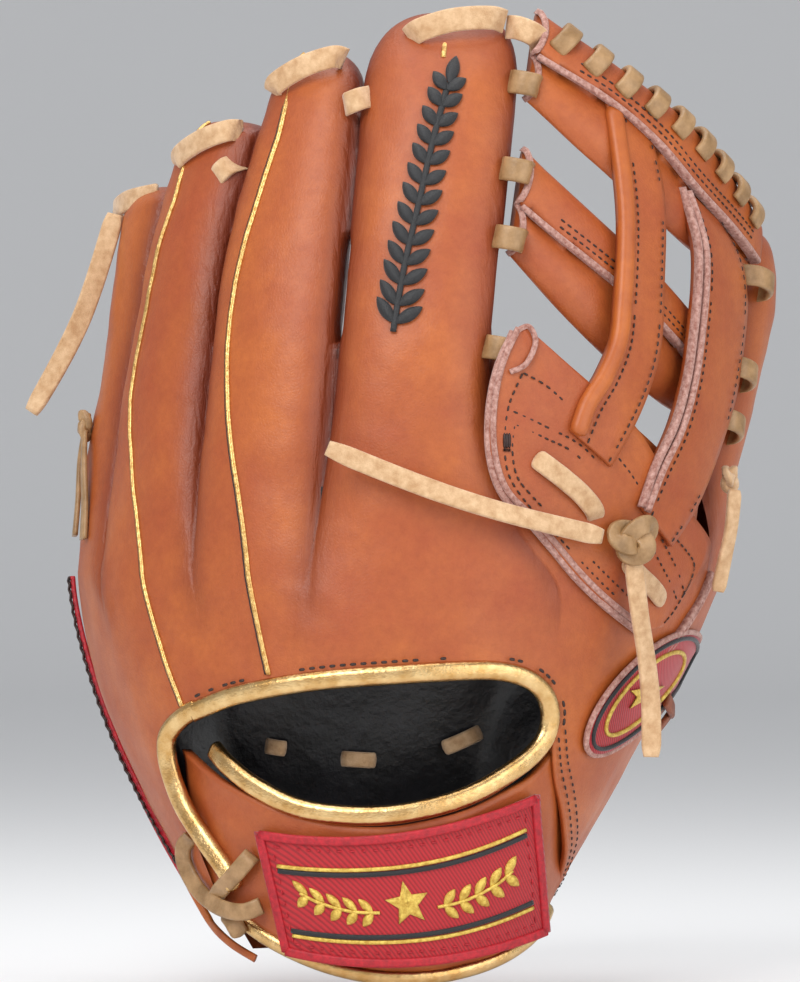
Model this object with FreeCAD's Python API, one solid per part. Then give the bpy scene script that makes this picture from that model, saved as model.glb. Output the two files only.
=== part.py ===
"""A fielding glove for the left hand, standing with its fingers up and half curled.

+Z runs from the wrist to the fingertips, the back of the hand faces -Y, and the palm
and pocket face +Y. The thumb is on +X. The origin is the middle of the wrist opening.

The leather is laid out on a curled wall: a point is given by its angle round the curl
(0 faces -Y, + is towards the thumb), its height z, and its depth under the back's
outer face. Each piece is a sheet, a ribbon or a tube in those three numbers, so pieces
stay layered at every size. Lengths are in millimetres, angles in degrees.
"""

import FreeCAD, Part
import math
import os
from FreeCAD import Vector

# The curled wall
CURL_RADIUS = 100.0      # outer radius of the curled glove, seen from the fingertips
TAPER_START = 50.0       # below this height the glove narrows to the wrist
TAPER = 0.119            # how fast it narrows
TAPER_POWER = 1.3
LEAN = 0.14              # how far the fingers lean towards the thumb, per mm of height
LEAN_BLEND = 30.0        # height over which that lean begins
BACK_Y = -28.0           # the back's outer face at angle 0
CURL_START = 80.0        # above this height the fingers bend towards the pocket
CURL_RATE = 0.0018
FINGER_DEPTH = 27.0      # back to palm, through a finger
HEEL_DEPTH = 60.0        # back to palm, through the heel
DEEPEN_FROM = 110.0      # height where the depth starts to grow
DEEPEN_OVER = 150.0
EDGE_DEPTH = 22.0        # thickness at the curl's two edges
EDGE_THINNING = 8.0      # the edges thin by this much towards the wrist
HEEL_SPREAD = 16.0       # how much further forward the heel's edges stand

# Leather and clearances
LEATHER = 3.0            # shell leather
LINING = 1.2             # lining leather
FELT = 7.0               # palm felt
GAP = 0.6                # between neighbouring pieces
CONTACT = 0.3            # under what lies on the leather
SEW = 1.6                # between a leather edge and the binding sewn along it
FOLD_GAP = 2.2           # half the slot at a fold line, on the back
PINKY_CREASE = 6.0       # half the slot at the pinky's fold line, on the palm
THUMB_CREASE = 10.8      # half the slot at the thumb's fold line, on the palm
CREASE_SPREAD = 0.09     # how much wider that slot is, per mm below the stalls
SEAM = 0.48              # where a stall's side seam lies, as a share of its depth
WELT = 1.6               # welt cord width
BINDING = 6.5            # rolled binding width
BINDING_THICK = 4.6
LACE = 6.0               # rawhide lace width
LACE_THICK = 2.6

# The thumb's fold line stands at x = THUMB_AXIS_X + THUMB_AXIS_LEAN * z
THUMB_AXIS_X = 0.54 * CURL_RADIUS
THUMB_AXIS_LEAN = -0.04

# Stalls: the height of the tip
INDEX_TIP = 219.0
MIDDLE_TIP = 206.0
RING_TIP = 186.0
PINKY_TIP = 168.0
THUMB_TIP = 154.0
STALL_BASE = 60.0        # where the stall fronts leave the palm
TIP_SHARE = 0.28         # share of a stall's length that rounds off
TIP_WIDTH = 0.86         # how much of the width the tip loses

# Wrist
OPENING_TOP = 21.0       # lower edge of the hand back, above the wrist
VALLEY_FOOT = 52.0       # height where the valleys between the fingers begin
BACK_FOOT = 2.0          # lower edge of the pinky's back
HEEL_FOOT = -64.0        # bottom of the heel
STRAP_RADIUS = CURL_RADIUS - 34.0
STRAP_TAPER = 0.14       # how much the strap narrows, per mm downward
STRAP_TOP = -25.0        # the strap's top edge at its lowest
STRAP_HEIGHT = 43.5
STRAP_RISE = 15.0        # how far its top edge rises at the ends
STRAP_SIDE = 48.0        # half the strap's reach, in degrees
LABEL_WIDTH = 85.0
LABEL_HEIGHT = 35.0
LABEL_ANGLE = 8.0        # where the label's middle is, round the strap
LABEL_Z = -40.5
LABEL_TURN = 3.5
BADGE = 2.0              # thickness of the label and the thumb's patch
PATCH_WIDTH = 25.0
PATCH_HEIGHT = 37.0

# Web. A bar's middle line is given by three (angle, z) points.
TOP_BAR = ((12.8, 204.0), (43.0, 172.5), (73.0, 150.0))
MIDDLE_BAR = ((14.5, 160.0), (43.0, 125.0), (71.0, 106.0))
BAR_THICK = 9.0
BAR_DEPTH = 8.0          # how deep a bar's middle lies
POST_THICK = 3.0
TOP_BAR_HEIGHT = 34.0    # both heights are upright ones
MIDDLE_BAR_HEIGHT = 31.0
KNOT = (19.0, 13.0, 9.0)

# Lace tails: the cord's diameter, and points along each, chosen by hand for a curl of
# TAIL_CURL. They spread with the curl.
TAIL = 4.4
TAIL_CURL = 100.0
TAILS = {
    "web_tail_left": ((66.0, -18.6, 61.2), (52.0, -27.4, 64.5), (32.0, -34.0, 69.5),
                      (7.6, -35.8, 77.8), (-15.5, -34.8, 87.5)),
    "web_tail_down": ((75.7, -10.24, 54.4), (77.2, -9.5, 40.0), (79.8, -6.5, 25.0),
                      (81.5, -4.0, 9.0), (81.2, -4.5, -5.0)),
    "thumb_tail": ((107.6, 30.6, 75.0), (107.0, 28.6, 65.0), (104.6, 27.8, 54.5),
                   (102.5, 29.2, 44.2)),
    "pinky_tail": ((-81.8, 66.5, 160.0), (-87.0, 64.8, 141.0), (-95.5, 64.2, 119.0),
                   (-107.6, 66.2, 99.0)),
}

os.makedirs("parts", exist_ok=True)


def smooth(t):
    """0 below 0, 1 above 1, and an S between."""
    t = min(1.0, max(0.0, t))
    return t * t * (3.0 - 2.0 * t)


def mix(a, b, t):
    return a + (b - a) * t


def through(z, points):
    """The parabola through three (z, value) points."""
    (z0, a), (z1, b), (z2, c) = points
    return (
        a * (z - z1) * (z - z2) / ((z0 - z1) * (z0 - z2))
        + b * (z - z0) * (z - z2) / ((z1 - z0) * (z1 - z2))
        + c * (z - z0) * (z - z1) / ((z2 - z0) * (z2 - z1))
    )


def lean(z):
    """How far the curl's centre stands towards the thumb at a height."""
    return LEAN / 2.0 * (z + math.hypot(z, LEAN_BLEND) - LEAN_BLEND)


def radius(z):
    return CURL_RADIUS - TAPER * max(0.0, TAPER_START - z) ** TAPER_POWER


def angle_at(x, z):
    """The angle round the curl whose outer face stands at x."""
    sine = (x - lean(z)) / radius(z)
    return math.degrees(math.asin(max(-1.0, min(1.0, sine))))


def wall(angle, z):
    """The back and palm ends of the line through the wall, in plan, and its length."""
    s, c, r = math.sin(math.radians(angle)), math.cos(math.radians(angle)), radius(z)
    thin = EDGE_DEPTH - EDGE_THINNING * smooth((60.0 - z) / 110.0)
    middle = mix(FINGER_DEPTH, HEEL_DEPTH, smooth((DEEPEN_FROM - z) / DEEPEN_OVER))
    edge_y = r + HEEL_SPREAD * smooth(-z / 50.0)
    back = (r * s, r * (1.0 - c))
    palm = ((r - thin) * s, edge_y - (edge_y - middle) * c)
    return back, palm, math.dist(back, palm)


def depth_at(angle, z):
    """How thick the glove is there, from back to palm."""
    return wall(angle, z)[2]


def place(angle, z, depth):
    """The point at a depth under the back's outer face."""
    back, palm, length = wall(angle, z)
    f = depth / length
    bend = CURL_RATE * max(0.0, z - CURL_START) ** 2
    return Vector(
        lean(z) + mix(back[0], palm[0], f), BACK_Y + bend + mix(back[1], palm[1], f), z
    )


def skin(grid):
    """A smooth surface through a grid of points, with its four edges."""
    surface = Part.BSplineSurface()
    surface.interpolate(grid)
    u0, u1, v0, v1 = surface.bounds()
    edges = [surface.uIso(u0), surface.uIso(u1), surface.vIso(v0), surface.vIso(v1)]
    return surface.toShape(), [edge.toShape() for edge in edges]


def slab(near, far):
    """A closed solid between two grids of points."""
    near_face, near_edges = skin(near)
    far_face, far_edges = skin(far)
    sides = [Part.makeRuledSurface(a, b) for a, b in zip(near_edges, far_edges)]
    shell = Part.Shell([near_face, far_face] + sides)
    shell.sewShape()
    solid = Part.makeSolid(shell)
    if solid.Volume < 0.0:
        solid.reverse()
    return solid


def steps(count, ease=0.0):
    """Evenly spaced shares from 0 to 1, drawn towards 1 by ease."""
    shares = [i / (count - 1) for i in range(count)]
    return [t + ease * t * (1.0 - t) for t in shares]


def sheet(corner, outer, inner, rows=6, columns=7, ease=0.0, at=place):
    """A curved sheet. corner(a, t) gives its angle and height; outer and inner its depths."""
    near, far = [], []
    for t in steps(rows, ease):
        near_row, far_row = [], []
        for a in steps(columns):
            angle, z = corner(a, t)
            near_row.append(at(angle, z, outer(a, angle, z, t)))
            far_row.append(at(angle, z, inner(a, angle, z, t)))
        near.append(near_row)
        far.append(far_row)
    return slab(near, far)


def strip(stations, width, thick, at=place):
    """A strap lying on the wall, through the middles (angle, z, depth) it is given."""
    points = [at(*s) for s in stations]
    near, far = [], []
    for i, (angle, z, depth) in enumerate(stations):
        before, after = points[max(0, i - 1)], points[min(len(points) - 1, i + 1)]
        normal = (at(angle, z, depth + 1.0) - points[i]).normalize()
        side = (after - before).cross(normal).normalize() * (width / 2.0)
        lift = normal * (thick / 2.0)
        near.append([points[i] - side - lift, points[i] + side - lift])
        far.append([points[i] - side + lift, points[i] + side + lift])
    return slab(near, far)


def patch(angle, z, width, height, near, thick, turn=0.0, at=place, columns=4):
    """A rectangle lying on the wall, its middle at (angle, z), turned in its own plane."""
    c, s = math.cos(math.radians(turn)), math.sin(math.radians(turn))

    def corner(a, t):
        u, v = (a - 0.5) * width, (t - 0.5) * height
        around = (u * c - v * s) / (radius(z) if at is place else STRAP_RADIUS)
        return angle + math.degrees(around), z + u * s + v * c

    return sheet(corner, lambda a, g, h, t: near, lambda a, g, h, t: near + thick,
                 rows=4, columns=columns, at=at)


def rounded_path(points):
    """Straight runs joined by arcs as large as each pair of runs allows."""
    edges, radii, start = [], [], points[0]
    for i in range(1, len(points) - 1):
        back, on = points[i - 1] - points[i], points[i + 1] - points[i]
        reach = 0.45 * min(back.Length, on.Length)
        back.normalize()
        on.normalize()
        half_turn = (math.pi - back.getAngle(on)) / 2.0
        radii.append(reach / math.tan(half_turn))
        enter, leave = points[i] + back * reach, points[i] + on * reach
        bisector = (back + on).normalize()
        middle = points[i] + bisector * (radii[-1] / math.cos(half_turn) - radii[-1])
        edges.append(Part.LineSegment(start, enter).toShape())
        edges.append(Part.Arc(enter, middle, leave).toShape())
        start = leave
    edges.append(Part.LineSegment(start, points[-1]).toShape())
    return Part.Wire(edges), radii


def tail(name, points):
    """A free lace tail, as a plain tube along its route."""
    spread = CURL_RADIUS / TAIL_CURL
    points = [Vector(x * spread, BACK_Y + (y - BACK_Y) * spread, z) for x, y, z in points]
    path, radii = rounded_path(points)
    ring = Part.Wire(Part.makeCircle(TAIL / 2.0, points[0], path.Edges[0].tangentAt(0)))
    tube = path.makePipeShell([ring], True, False)
    ideal = math.pi * TAIL ** 2 / 4.0 * path.Length
    print(f"{name}: {path.Length:.1f} mm, radii {[round(r) for r in radii]}, "
          f"volume / ideal {tube.Volume / ideal:.3f}")
    save(name, tube)


def save(name, *solids):
    """Writes one node, a solid or a group of separate solids."""
    shape = solids[0] if len(solids) == 1 else Part.makeCompound(list(solids))
    good = shape.isValid() and all(s.Volume > 0.5 for s in shape.Solids)
    print(f"{name}: {len(shape.Solids)} solid(s), {shape.Volume:.0f} mm3, valid {good}")
    shape.exportStep(os.path.join("parts", name + ".step"))


# ---- Fold lines and finger valleys, as angles at a height ---------------------------------


def thumb_fold(z):
    return angle_at(THUMB_AXIS_X + THUMB_AXIS_LEAN * z, z)


def valley_pinky_ring(z):
    return through(z, ((20.0, -61.0), (102.0, -73.0), (170.0, -66.0)))


def valley_ring_middle(z):
    return through(z, ((20.0, -34.0), (102.0, -44.0), (190.0, -40.0)))


def valley_middle_index(z):
    return through(z, ((20.0, -15.0), (102.0, -16.7), (205.0, -20.0)))


def index_edge(z):
    """The index stall's thumb side, which runs into the thumb's fold line lower down."""
    edge = through(z, ((60.0, 14.5), (102.0, 12.6), (205.0, 10.0)))
    low = thumb_fold(min(z, 60.0)) - arc(FOLD_GAP, z)
    return mix(low, edge, smooth((z - 45.0) / 40.0))


def pinky_edge(z):
    return through(z, ((20.0, -95.0), (102.0, -99.0), (165.0, -93.0)))


def thumb_inner(z):
    return through(z, ((60.0, 70.0), (102.0, 74.0), (150.0, 76.0)))


def thumb_outer(z):
    return through(z, ((20.0, 96.0), (102.0, 103.0), (150.0, 100.0)))


def arc(length, z):
    """The angle that spans a length on the outer face."""
    return math.degrees(length / radius(z))


# ---- Stalls -------------------------------------------------------------------------------


class Stall:
    """One finger's leather: a back sheet from wrist to tip and a front sheet above the palm."""

    def __init__(self, left, right, tip, foot, gaps=(GAP, GAP)):
        self.left, self.right, self.tip, self.foot = left, right, tip, foot
        self.gaps = gaps

    def rounding(self, z):
        """How far up the rounded tip a height is, from 0 to 1."""
        start = self.tip - TIP_SHARE * (self.tip - 40.0)
        return max(0.0, (z - start) / (self.tip - start))

    def corner(self, a, z, inset=0.0):
        left = self.left(z) + arc(self.gaps[0] / 2.0 + inset, z)
        right = self.right(z) - arc(self.gaps[1] / 2.0 + inset, z)
        share = math.sqrt(1.0 - (TIP_WIDTH * self.rounding(z)) ** 2)
        half = (right - left) / 2.0 * share
        return (left + right) / 2.0 + (2.0 * a - 1.0) * half

    def seam_depth(self, angle, z):
        return SEAM * depth_at(angle, z) * smooth((z - VALLEY_FOOT) / 40.0)

    def crown(self, a, angle, z, seam):
        """The depth of an arched face that meets the seam at its sides and tip."""
        arch = seam * abs(2.0 * a - 1.0) ** 2.6
        closing = 1.0 - math.sqrt(1.0 - (0.96 * self.rounding(z)) ** 2)
        return arch + (seam - arch) * closing

    def back(self):
        def corner(a, t):
            z = mix(self.foot(a), self.tip, t)
            return self.corner(a, z), z

        def outer(a, angle, z, t):
            return self.crown(a, angle, z, self.seam_depth(angle, z))

        return sheet(corner, outer, lambda a, g, z, t: outer(a, g, z, t) + LEATHER,
                     rows=20, columns=9, ease=0.25)

    def front_depth(self, a, angle, z, extra):
        """Depth of the front sheet's outer face, less extra, measured from the back."""
        whole = depth_at(angle, z)
        seam = whole - SEAM * whole - 2.0 * LEATHER - GAP
        return whole - self.crown(a, angle, z, seam) - extra

    def front(self, foot=STALL_BASE):
        def corner(a, t):
            z = mix(foot, self.tip, t)
            return self.corner(a, z), z

        return sheet(corner, lambda a, g, z, t: self.front_depth(a, g, z, 0.0),
                     lambda a, g, z, t: self.front_depth(a, g, z, LEATHER),
                     rows=10, columns=9, ease=0.25)

    def pad(self, foot, top):
        """Felt inside the stall, against its front sheet."""
        def corner(a, t):
            z = mix(foot, top, t)
            middle = (self.left(z) + self.right(z)) / 2.0
            return middle + (2.0 * a - 1.0) * arc(13.0, z), z

        return sheet(corner, lambda a, g, z, t: self.front_depth(a, g, z, LEATHER + GAP),
                     lambda a, g, z, t: self.front_depth(a, g, z, LEATHER + GAP + 3.5),
                     rows=5, columns=5)

    def welt(self, foot):
        """The welt cord along the middle of the stall's back."""
        stations = []
        for t in steps(8, 0.2):
            z = mix(foot, self.tip - 7.0, t)
            angle = self.corner(0.5, z)
            crown = self.crown(0.5, angle, z, self.seam_depth(angle, z))
            stations.append((angle, z, crown - WELT / 2.0 - CONTACT))
        return strip(stations, WELT, WELT)


def opening_edge(angle):
    """The hand back's lower edge over the open back."""
    return OPENING_TOP - 9.0 * smooth((-angle - 14.0) / 24.0) - 6.0 * smooth((angle - 20.0) / 14.0)


INDEX = Stall(valley_middle_index, index_edge, INDEX_TIP,
              lambda a: opening_edge(mix(-15.0, index_edge(20.0), a)), (GAP, GAP))
MIDDLE = Stall(valley_ring_middle, valley_middle_index, MIDDLE_TIP,
               lambda a: opening_edge(mix(-36.0, -15.0, a)), (2.0 * FOLD_GAP, GAP))
RING = Stall(valley_pinky_ring, valley_ring_middle, RING_TIP,
             lambda a: BACK_FOOT + 9.0 * smooth((a - 0.55) / 0.45), (GAP, 2.0 * FOLD_GAP))
PINKY = Stall(pinky_edge, valley_pinky_ring, PINKY_TIP, lambda a: BACK_FOOT)
THUMB = Stall(thumb_inner, thumb_outer, THUMB_TIP, lambda a: STALL_BASE + GAP)


def thumb_base():
    """The back leather between the fold line and the thumb's outer edge."""
    def corner(a, t):
        z = mix(mix(-36.0, -28.0, a), STALL_BASE, t)
        left = thumb_fold(z) + arc(FOLD_GAP, z)
        return mix(left, thumb_outer(z) - 2.0, a), z

    def outer(a, angle, z, t):
        return SEAM * depth_at(angle, z) * smooth((a - 0.7) / 0.3) * smooth((t - 0.3) / 0.7)

    return sheet(corner, outer, lambda a, g, z, t: outer(a, g, z, t) + LEATHER, rows=8, columns=9)


def flap():
    """The pinky side's lower back, whose edge laces to the strap."""
    def corner(a, t):
        z = mix(-46.0, BACK_FOOT - GAP, t)
        return mix(mix(-86.0, -94.0, t), mix(-64.0, -57.0, t), a), z

    return sheet(corner, lambda a, g, z, t: 0.0, lambda a, g, z, t: LEATHER, rows=5)


def from_palm(angle, z, depth):
    """The point at a depth under the palm's outer face."""
    return place(angle, z, depth_at(angle, z) - depth)


def palm_sheet(left, right, foot, top, near, thick, rows=7, columns=9):
    """A sheet between two angles that are given at a height, at a depth under the palm."""
    def corner(a, t):
        z = mix(foot, top, t)
        return mix(left(z), right(z), a), z

    return sheet(corner, lambda a, g, z, t: near + thick, lambda a, g, z, t: near,
                 rows=rows, columns=columns, at=from_palm)


def palm_left(z):
    """The palm's fold line on the pinky side."""
    return valley_ring_middle(max(z, 0.0)) + arc(PINKY_CREASE, z)


def palm_right(z):
    """The palm's fold line on the thumb side."""
    return min(thumb_fold(z), 62.0) - arc(THUMB_CREASE, z)


def pinky_palm_left(z):
    return pinky_edge(max(z, 0.0)) + 1.0


def pinky_palm_right(z):
    return palm_left(z) - 2.0 * arc(PINKY_CREASE, z)


def thumb_palm_left(z):
    return palm_right(z) + arc(2.0 * THUMB_CREASE + CREASE_SPREAD * (STALL_BASE - z), z)


def thumb_palm_right(z):
    return thumb_outer(max(z, 0.0)) - 3.0


# ---- The web ------------------------------------------------------------------------------


def web_bar(line, height):
    """A diagonal bar of doubled leather: two rolls side by side along its middle line."""
    def corner(a, t):
        angle = mix(line[0][0], line[2][0], t)
        return angle, through(angle, line) + (a - 0.5) * height

    def half(a):
        return BAR_THICK * mix(0.2, 0.5, abs(math.sin(2.0 * math.pi * a)))

    return sheet(corner, lambda a, g, z, t: BAR_DEPTH - half(a),
                 lambda a, g, z, t: BAR_DEPTH + half(a), rows=9, columns=17)


def post(top, bottom, bow):
    """A post from the top bar to the base; each end is (left angle, right angle, z)."""
    def corner(a, t):
        sway = bow * 4.0 * t * (1.0 - t)
        left = mix(bottom[0], top[0], t) + sway
        right = mix(bottom[1], top[1], t) + sway
        return mix(left, right, a), mix(bottom[2], top[2], t)

    return sheet(corner, lambda a, g, z, t: 0.0, lambda a, g, z, t: POST_THICK,
                 rows=7, columns=5)


def web_base(near, left, right, thick=LEATHER, low=56.0):
    """A layer of the web's base; left and right are angles, and its top edge slopes."""
    def corner(a, t):
        angle = mix(left, right, a)
        top = 122.0 - 1.05 * (angle - 16.0) + 0.002 * (angle - 16.0) ** 2
        return angle, mix(max(low, 92.0 - 0.8 * (angle - 12.0)), top, t)

    return sheet(corner, lambda a, g, z, t: near, lambda a, g, z, t: near + thick)


# ---- The wrist ----------------------------------------------------------------------------


def strap_place(angle, z, depth):
    """A point on the wrist strap's own curve."""
    r = STRAP_RADIUS - STRAP_TAPER * (STRAP_TOP - z) - depth
    a = math.radians(angle)
    return Vector(r * math.sin(a), BACK_Y + STRAP_RADIUS - r * math.cos(a), z)


def strap_edge(angle):
    """The strap's top edge, which rises at both ends."""
    return STRAP_TOP + STRAP_RISE * (angle / STRAP_SIDE) ** 2


def strap_foot(angle):
    """The strap's lower edge, lowest under the label."""
    return STRAP_TOP - STRAP_HEIGHT + STRAP_RISE * ((angle - LABEL_ANGLE) / STRAP_SIDE) ** 2


def strap_sheet(near, thick, inset=0.0):
    def corner(a, t):
        angle = mix(-STRAP_SIDE, STRAP_SIDE, a)
        return angle, mix(strap_foot(angle) + inset, strap_edge(angle) - inset, t)

    return sheet(corner, lambda a, g, z, t: near, lambda a, g, z, t: near + thick,
                 rows=5, columns=9, at=strap_place)


def strap_binding(edge, side):
    stations = []
    for a in steps(9):
        angle = mix(-STRAP_SIDE, STRAP_SIDE, a)
        stations.append((angle, edge(angle) + side * (BINDING / 2.0 + SEW), LEATHER / 2.0))
    return strip(stations, BINDING, BINDING_THICK, strap_place)


# ---- All of it ----------------------------------------------------------------------------


def build_stalls():
    for name, stall in (("index", INDEX), ("middle", MIDDLE), ("ring", RING), ("pinky", PINKY)):
        save(name + "_finger_back", stall.back())
        save(name + "_finger_front", stall.front())
        save(name + "_finger_pad", stall.pad(STALL_BASE + 4.0, stall.tip - 50.0))
    save("thumb_back", THUMB.back())
    save("thumb_front", THUMB.front())
    save("middle_finger_welt", MIDDLE.welt(VALLEY_FOOT))
    save("ring_finger_welt", RING.welt(VALLEY_FOOT))


def build_hand():
    save("thumb_base_back", thumb_base())
    save("pinky_flap", flap())
    layers = (("palm_leather", 0.0, LEATHER, 0.0), ("palm_felt", LEATHER + GAP, FELT, 3.0),
              ("palm_lining", LEATHER + FELT + 2.0 * GAP, LINING, 3.0))
    for name, near, thick, inset in layers:
        save(name, palm_sheet(lambda z: palm_left(z) + arc(inset, z),
                              lambda z: palm_right(z) - arc(inset, z),
                              HEEL_FOOT + inset, STALL_BASE - GAP, near, thick))
    save("pinky_palm", palm_sheet(pinky_palm_left, pinky_palm_right, -50.0,
                                  STALL_BASE - GAP, 0.0, LEATHER))
    save("pinky_heel_pad", palm_sheet(lambda z: pinky_palm_left(z) + 9.0,
                                      lambda z: pinky_palm_right(z) - 4.0, -42.0, 46.0,
                                      LEATHER + GAP, FELT, rows=5, columns=5))
    save("thumb_palm", palm_sheet(thumb_palm_left, thumb_palm_right, -34.0,
                                  STALL_BASE - GAP, 0.0, LEATHER))
    save("thumb_heel_pad", palm_sheet(lambda z: thumb_palm_left(z) + 3.0,
                                      lambda z: thumb_palm_right(z) - 12.0, -28.0, 46.0,
                                      LEATHER + GAP, FELT, rows=5, columns=5))
    near = LEATHER + 2.0 * GAP
    lining = sheet(lambda a, t: (mix(-29.0, 22.0, a), mix(24.0, VALLEY_FOOT - 6.0, t)),
                   lambda a, g, z, t: near, lambda a, g, z, t: near + LINING)
    save("hand_back_lining", lining)
    loops = []
    for angle in (-20.0, -4.0, 13.0):
        loops.append(patch(angle, -14.0, 12.0, LACE, LEATHER + FELT + LINING + 3.0 * GAP,
                           LACE_THICK, at=from_palm))
    save("palm_lace", *loops)


def build_edges():
    edge = []
    for a in steps(11):
        angle = mix(-31.0, 30.0, a)
        edge.append((angle, opening_edge(angle) - BINDING / 2.0 - SEW, LEATHER / 2.0))
    save("opening_binding", strip(edge, BINDING, BINDING_THICK))
    edge = []
    for t in steps(7):
        z = mix(0.0, -44.0, t)
        edge.append((mix(-57.0, -63.8, t) + arc(BINDING / 2.0 + SEW, z), z, LEATHER / 2.0))
    save("flap_binding", strip(edge, BINDING, BINDING_THICK))
    band = []
    for t in steps(8):
        z = mix(48.0, -38.0, t)
        band.append((pinky_edge(max(z, 0.0)) + 4.0, z, -3.2))
    save("pinky_edge_lacing", strip(band, 4.0, 2.4))


def build_strap():
    save("wrist_strap", strap_sheet(0.0, LEATHER))
    save("strap_lining", strap_sheet(LEATHER + GAP, LINING, 2.0))
    save("strap_top_binding", strap_binding(strap_edge, 1.0))
    save("strap_bottom_binding", strap_binding(strap_foot, -1.0))
    save("strap_label", patch(LABEL_ANGLE, LABEL_Z, LABEL_WIDTH, LABEL_HEIGHT, -BADGE - SEW,
                              BADGE, LABEL_TURN, at=strap_place, columns=9))


def build_web():
    save("web_top_bar", web_bar(TOP_BAR, TOP_BAR_HEIGHT))
    save("web_middle_bar", web_bar(MIDDLE_BAR, MIDDLE_BAR_HEIGHT))
    save("web_inner_post", post((27.5, 39.0, 186.0), (25.0, 36.0, 72.0), 4.0))
    save("web_outer_post", post((49.0, 62.0, 164.0), (43.0, 57.0, 62.0), 7.0))
    save("web_base_back", web_base(-LEATHER - GAP, 27.0, 64.0))
    save("web_base_tab", web_base(-LEATHER - GAP, 15.0, 21.0))
    save("web_base_front", web_base(POST_THICK + GAP, 27.0, 64.0, low=STALL_BASE + GAP))
    loops = []
    for i in range(9):
        angle = 17.0 + 6.6 * i
        z = through(angle, TOP_BAR) + TOP_BAR_HEIGHT / 2.0 + 6.2
        loops.append(patch(angle, z, LACE, 7.0, BAR_DEPTH - 4.0, 8.0, turn=-32.0))
    save("web_top_lace", *loops)
    loops = []
    for z in (206.0, 193.0, 171.0, 151.0, 117.0):
        loops.append(patch(index_edge(z) - 3.0, z, 6.0, LACE, 0.4, LACE_THICK))
    save("index_web_lace", *loops)
    loops = []
    for z in (136.0, 108.0, 92.0):
        loops.append(patch(thumb_inner(z) - 0.5, z, 7.0, LACE, -LACE_THICK - GAP, LACE_THICK))
    save("thumb_web_lace", *loops)


def build_laces():
    outside = -LACE_THICK - CONTACT
    save("index_tip_lace", patch(-2.0, 215.5, 26.0, LACE, 2.0 - LACE_THICK, LACE_THICK, turn=8.0))
    save("middle_tip_lace", patch(-31.0, 199.5, 22.0, LACE, 1.6 - LACE_THICK, LACE_THICK, turn=18.0))
    save("ring_tip_lace", patch(-55.5, 180.5, 20.0, LACE, 1.6 - LACE_THICK, LACE_THICK, turn=24.0))
    save("pinky_tip_lace", patch(-81.0, 162.0, 12.0, LACE, 1.0 - LACE_THICK, LACE_THICK, turn=40.0))
    save("pinky_side_knot", patch(-86.0, 95.0, 9.0, 9.0, -5.5, 5.0))
    save("strap_lace", patch(-60.0, -38.0, 26.0, LACE, -9.0, LACE_THICK, turn=-38.0))
    save("web_base_lace", patch(31.0, 76.0, 22.0, 7.0, -LEATHER - GAP - CONTACT - LACE_THICK,
                                LACE_THICK, turn=-40.0))
    save("web_knot", patch(39.8, 60.6, KNOT[0], KNOT[1], -LEATHER - GAP - CONTACT - KNOT[2],
                           KNOT[2], turn=10.0))
    save("thumb_knot", patch(67.0, 79.0, 8.0, 7.0, outside - 5.0, 5.0))
    save("thumb_patch", patch(68.0, 16.0, PATCH_WIDTH, PATCH_HEIGHT, -BADGE - CONTACT, BADGE,
                              turn=-20.0))
    save("thumb_tab", patch(74.0, 8.0, 5.0, 11.0, LEATHER + GAP, 2.0))


build_stalls()
build_hand()
build_edges()
build_strap()
build_web()
build_laces()
for tail_name, route in TAILS.items():
    tail(tail_name, route)
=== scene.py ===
"""A fielding glove for the left hand, seen from its back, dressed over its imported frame.

The leather lies on a curled wall. A place on it is given by the angle round the curl
(0 faces -Y, + is towards the thumb), the height z, and the depth under the back's outer
face. Lengths in this script are millimetres and angles degrees; meshes are in metres.
"""

import logging
import math
from dataclasses import dataclass, field
from enum import Enum
from typing import Callable, Iterable, Sequence

import bmesh
import bpy
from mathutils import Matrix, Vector, noise


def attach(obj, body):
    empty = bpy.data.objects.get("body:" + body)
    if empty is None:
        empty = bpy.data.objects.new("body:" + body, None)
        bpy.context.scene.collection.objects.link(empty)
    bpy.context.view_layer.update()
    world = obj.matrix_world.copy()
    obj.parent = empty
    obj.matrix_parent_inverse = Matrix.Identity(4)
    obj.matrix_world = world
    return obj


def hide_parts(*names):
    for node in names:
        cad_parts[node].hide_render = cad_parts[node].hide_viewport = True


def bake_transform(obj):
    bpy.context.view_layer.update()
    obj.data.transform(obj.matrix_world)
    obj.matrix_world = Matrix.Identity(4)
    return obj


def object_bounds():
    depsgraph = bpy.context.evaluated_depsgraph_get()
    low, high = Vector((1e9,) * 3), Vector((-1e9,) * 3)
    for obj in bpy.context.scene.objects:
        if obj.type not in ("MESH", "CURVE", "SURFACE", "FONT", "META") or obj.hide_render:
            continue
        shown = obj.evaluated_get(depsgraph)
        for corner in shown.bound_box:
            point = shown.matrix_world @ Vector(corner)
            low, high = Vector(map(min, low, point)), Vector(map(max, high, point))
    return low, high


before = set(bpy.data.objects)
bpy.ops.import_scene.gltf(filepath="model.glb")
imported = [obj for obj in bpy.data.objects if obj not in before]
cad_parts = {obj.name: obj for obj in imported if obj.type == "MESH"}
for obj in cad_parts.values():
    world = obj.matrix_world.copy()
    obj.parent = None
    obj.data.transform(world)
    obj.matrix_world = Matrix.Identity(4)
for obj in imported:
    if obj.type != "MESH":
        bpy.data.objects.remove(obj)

LOG = logging.getLogger("glove")
MM = 0.001
CAD_BOX = [list(corner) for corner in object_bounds()]

# ---- The curled wall ----------------------------------------------------------------------

CURL_RADIUS = 100.0
BACK_Y = -28.0
SEAM_SHARE = 0.48


def smooth(t: float) -> float:
    """0 below 0, 1 above 1, and an S between."""
    t = min(1.0, max(0.0, t))
    return t * t * (3.0 - 2.0 * t)


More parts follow.
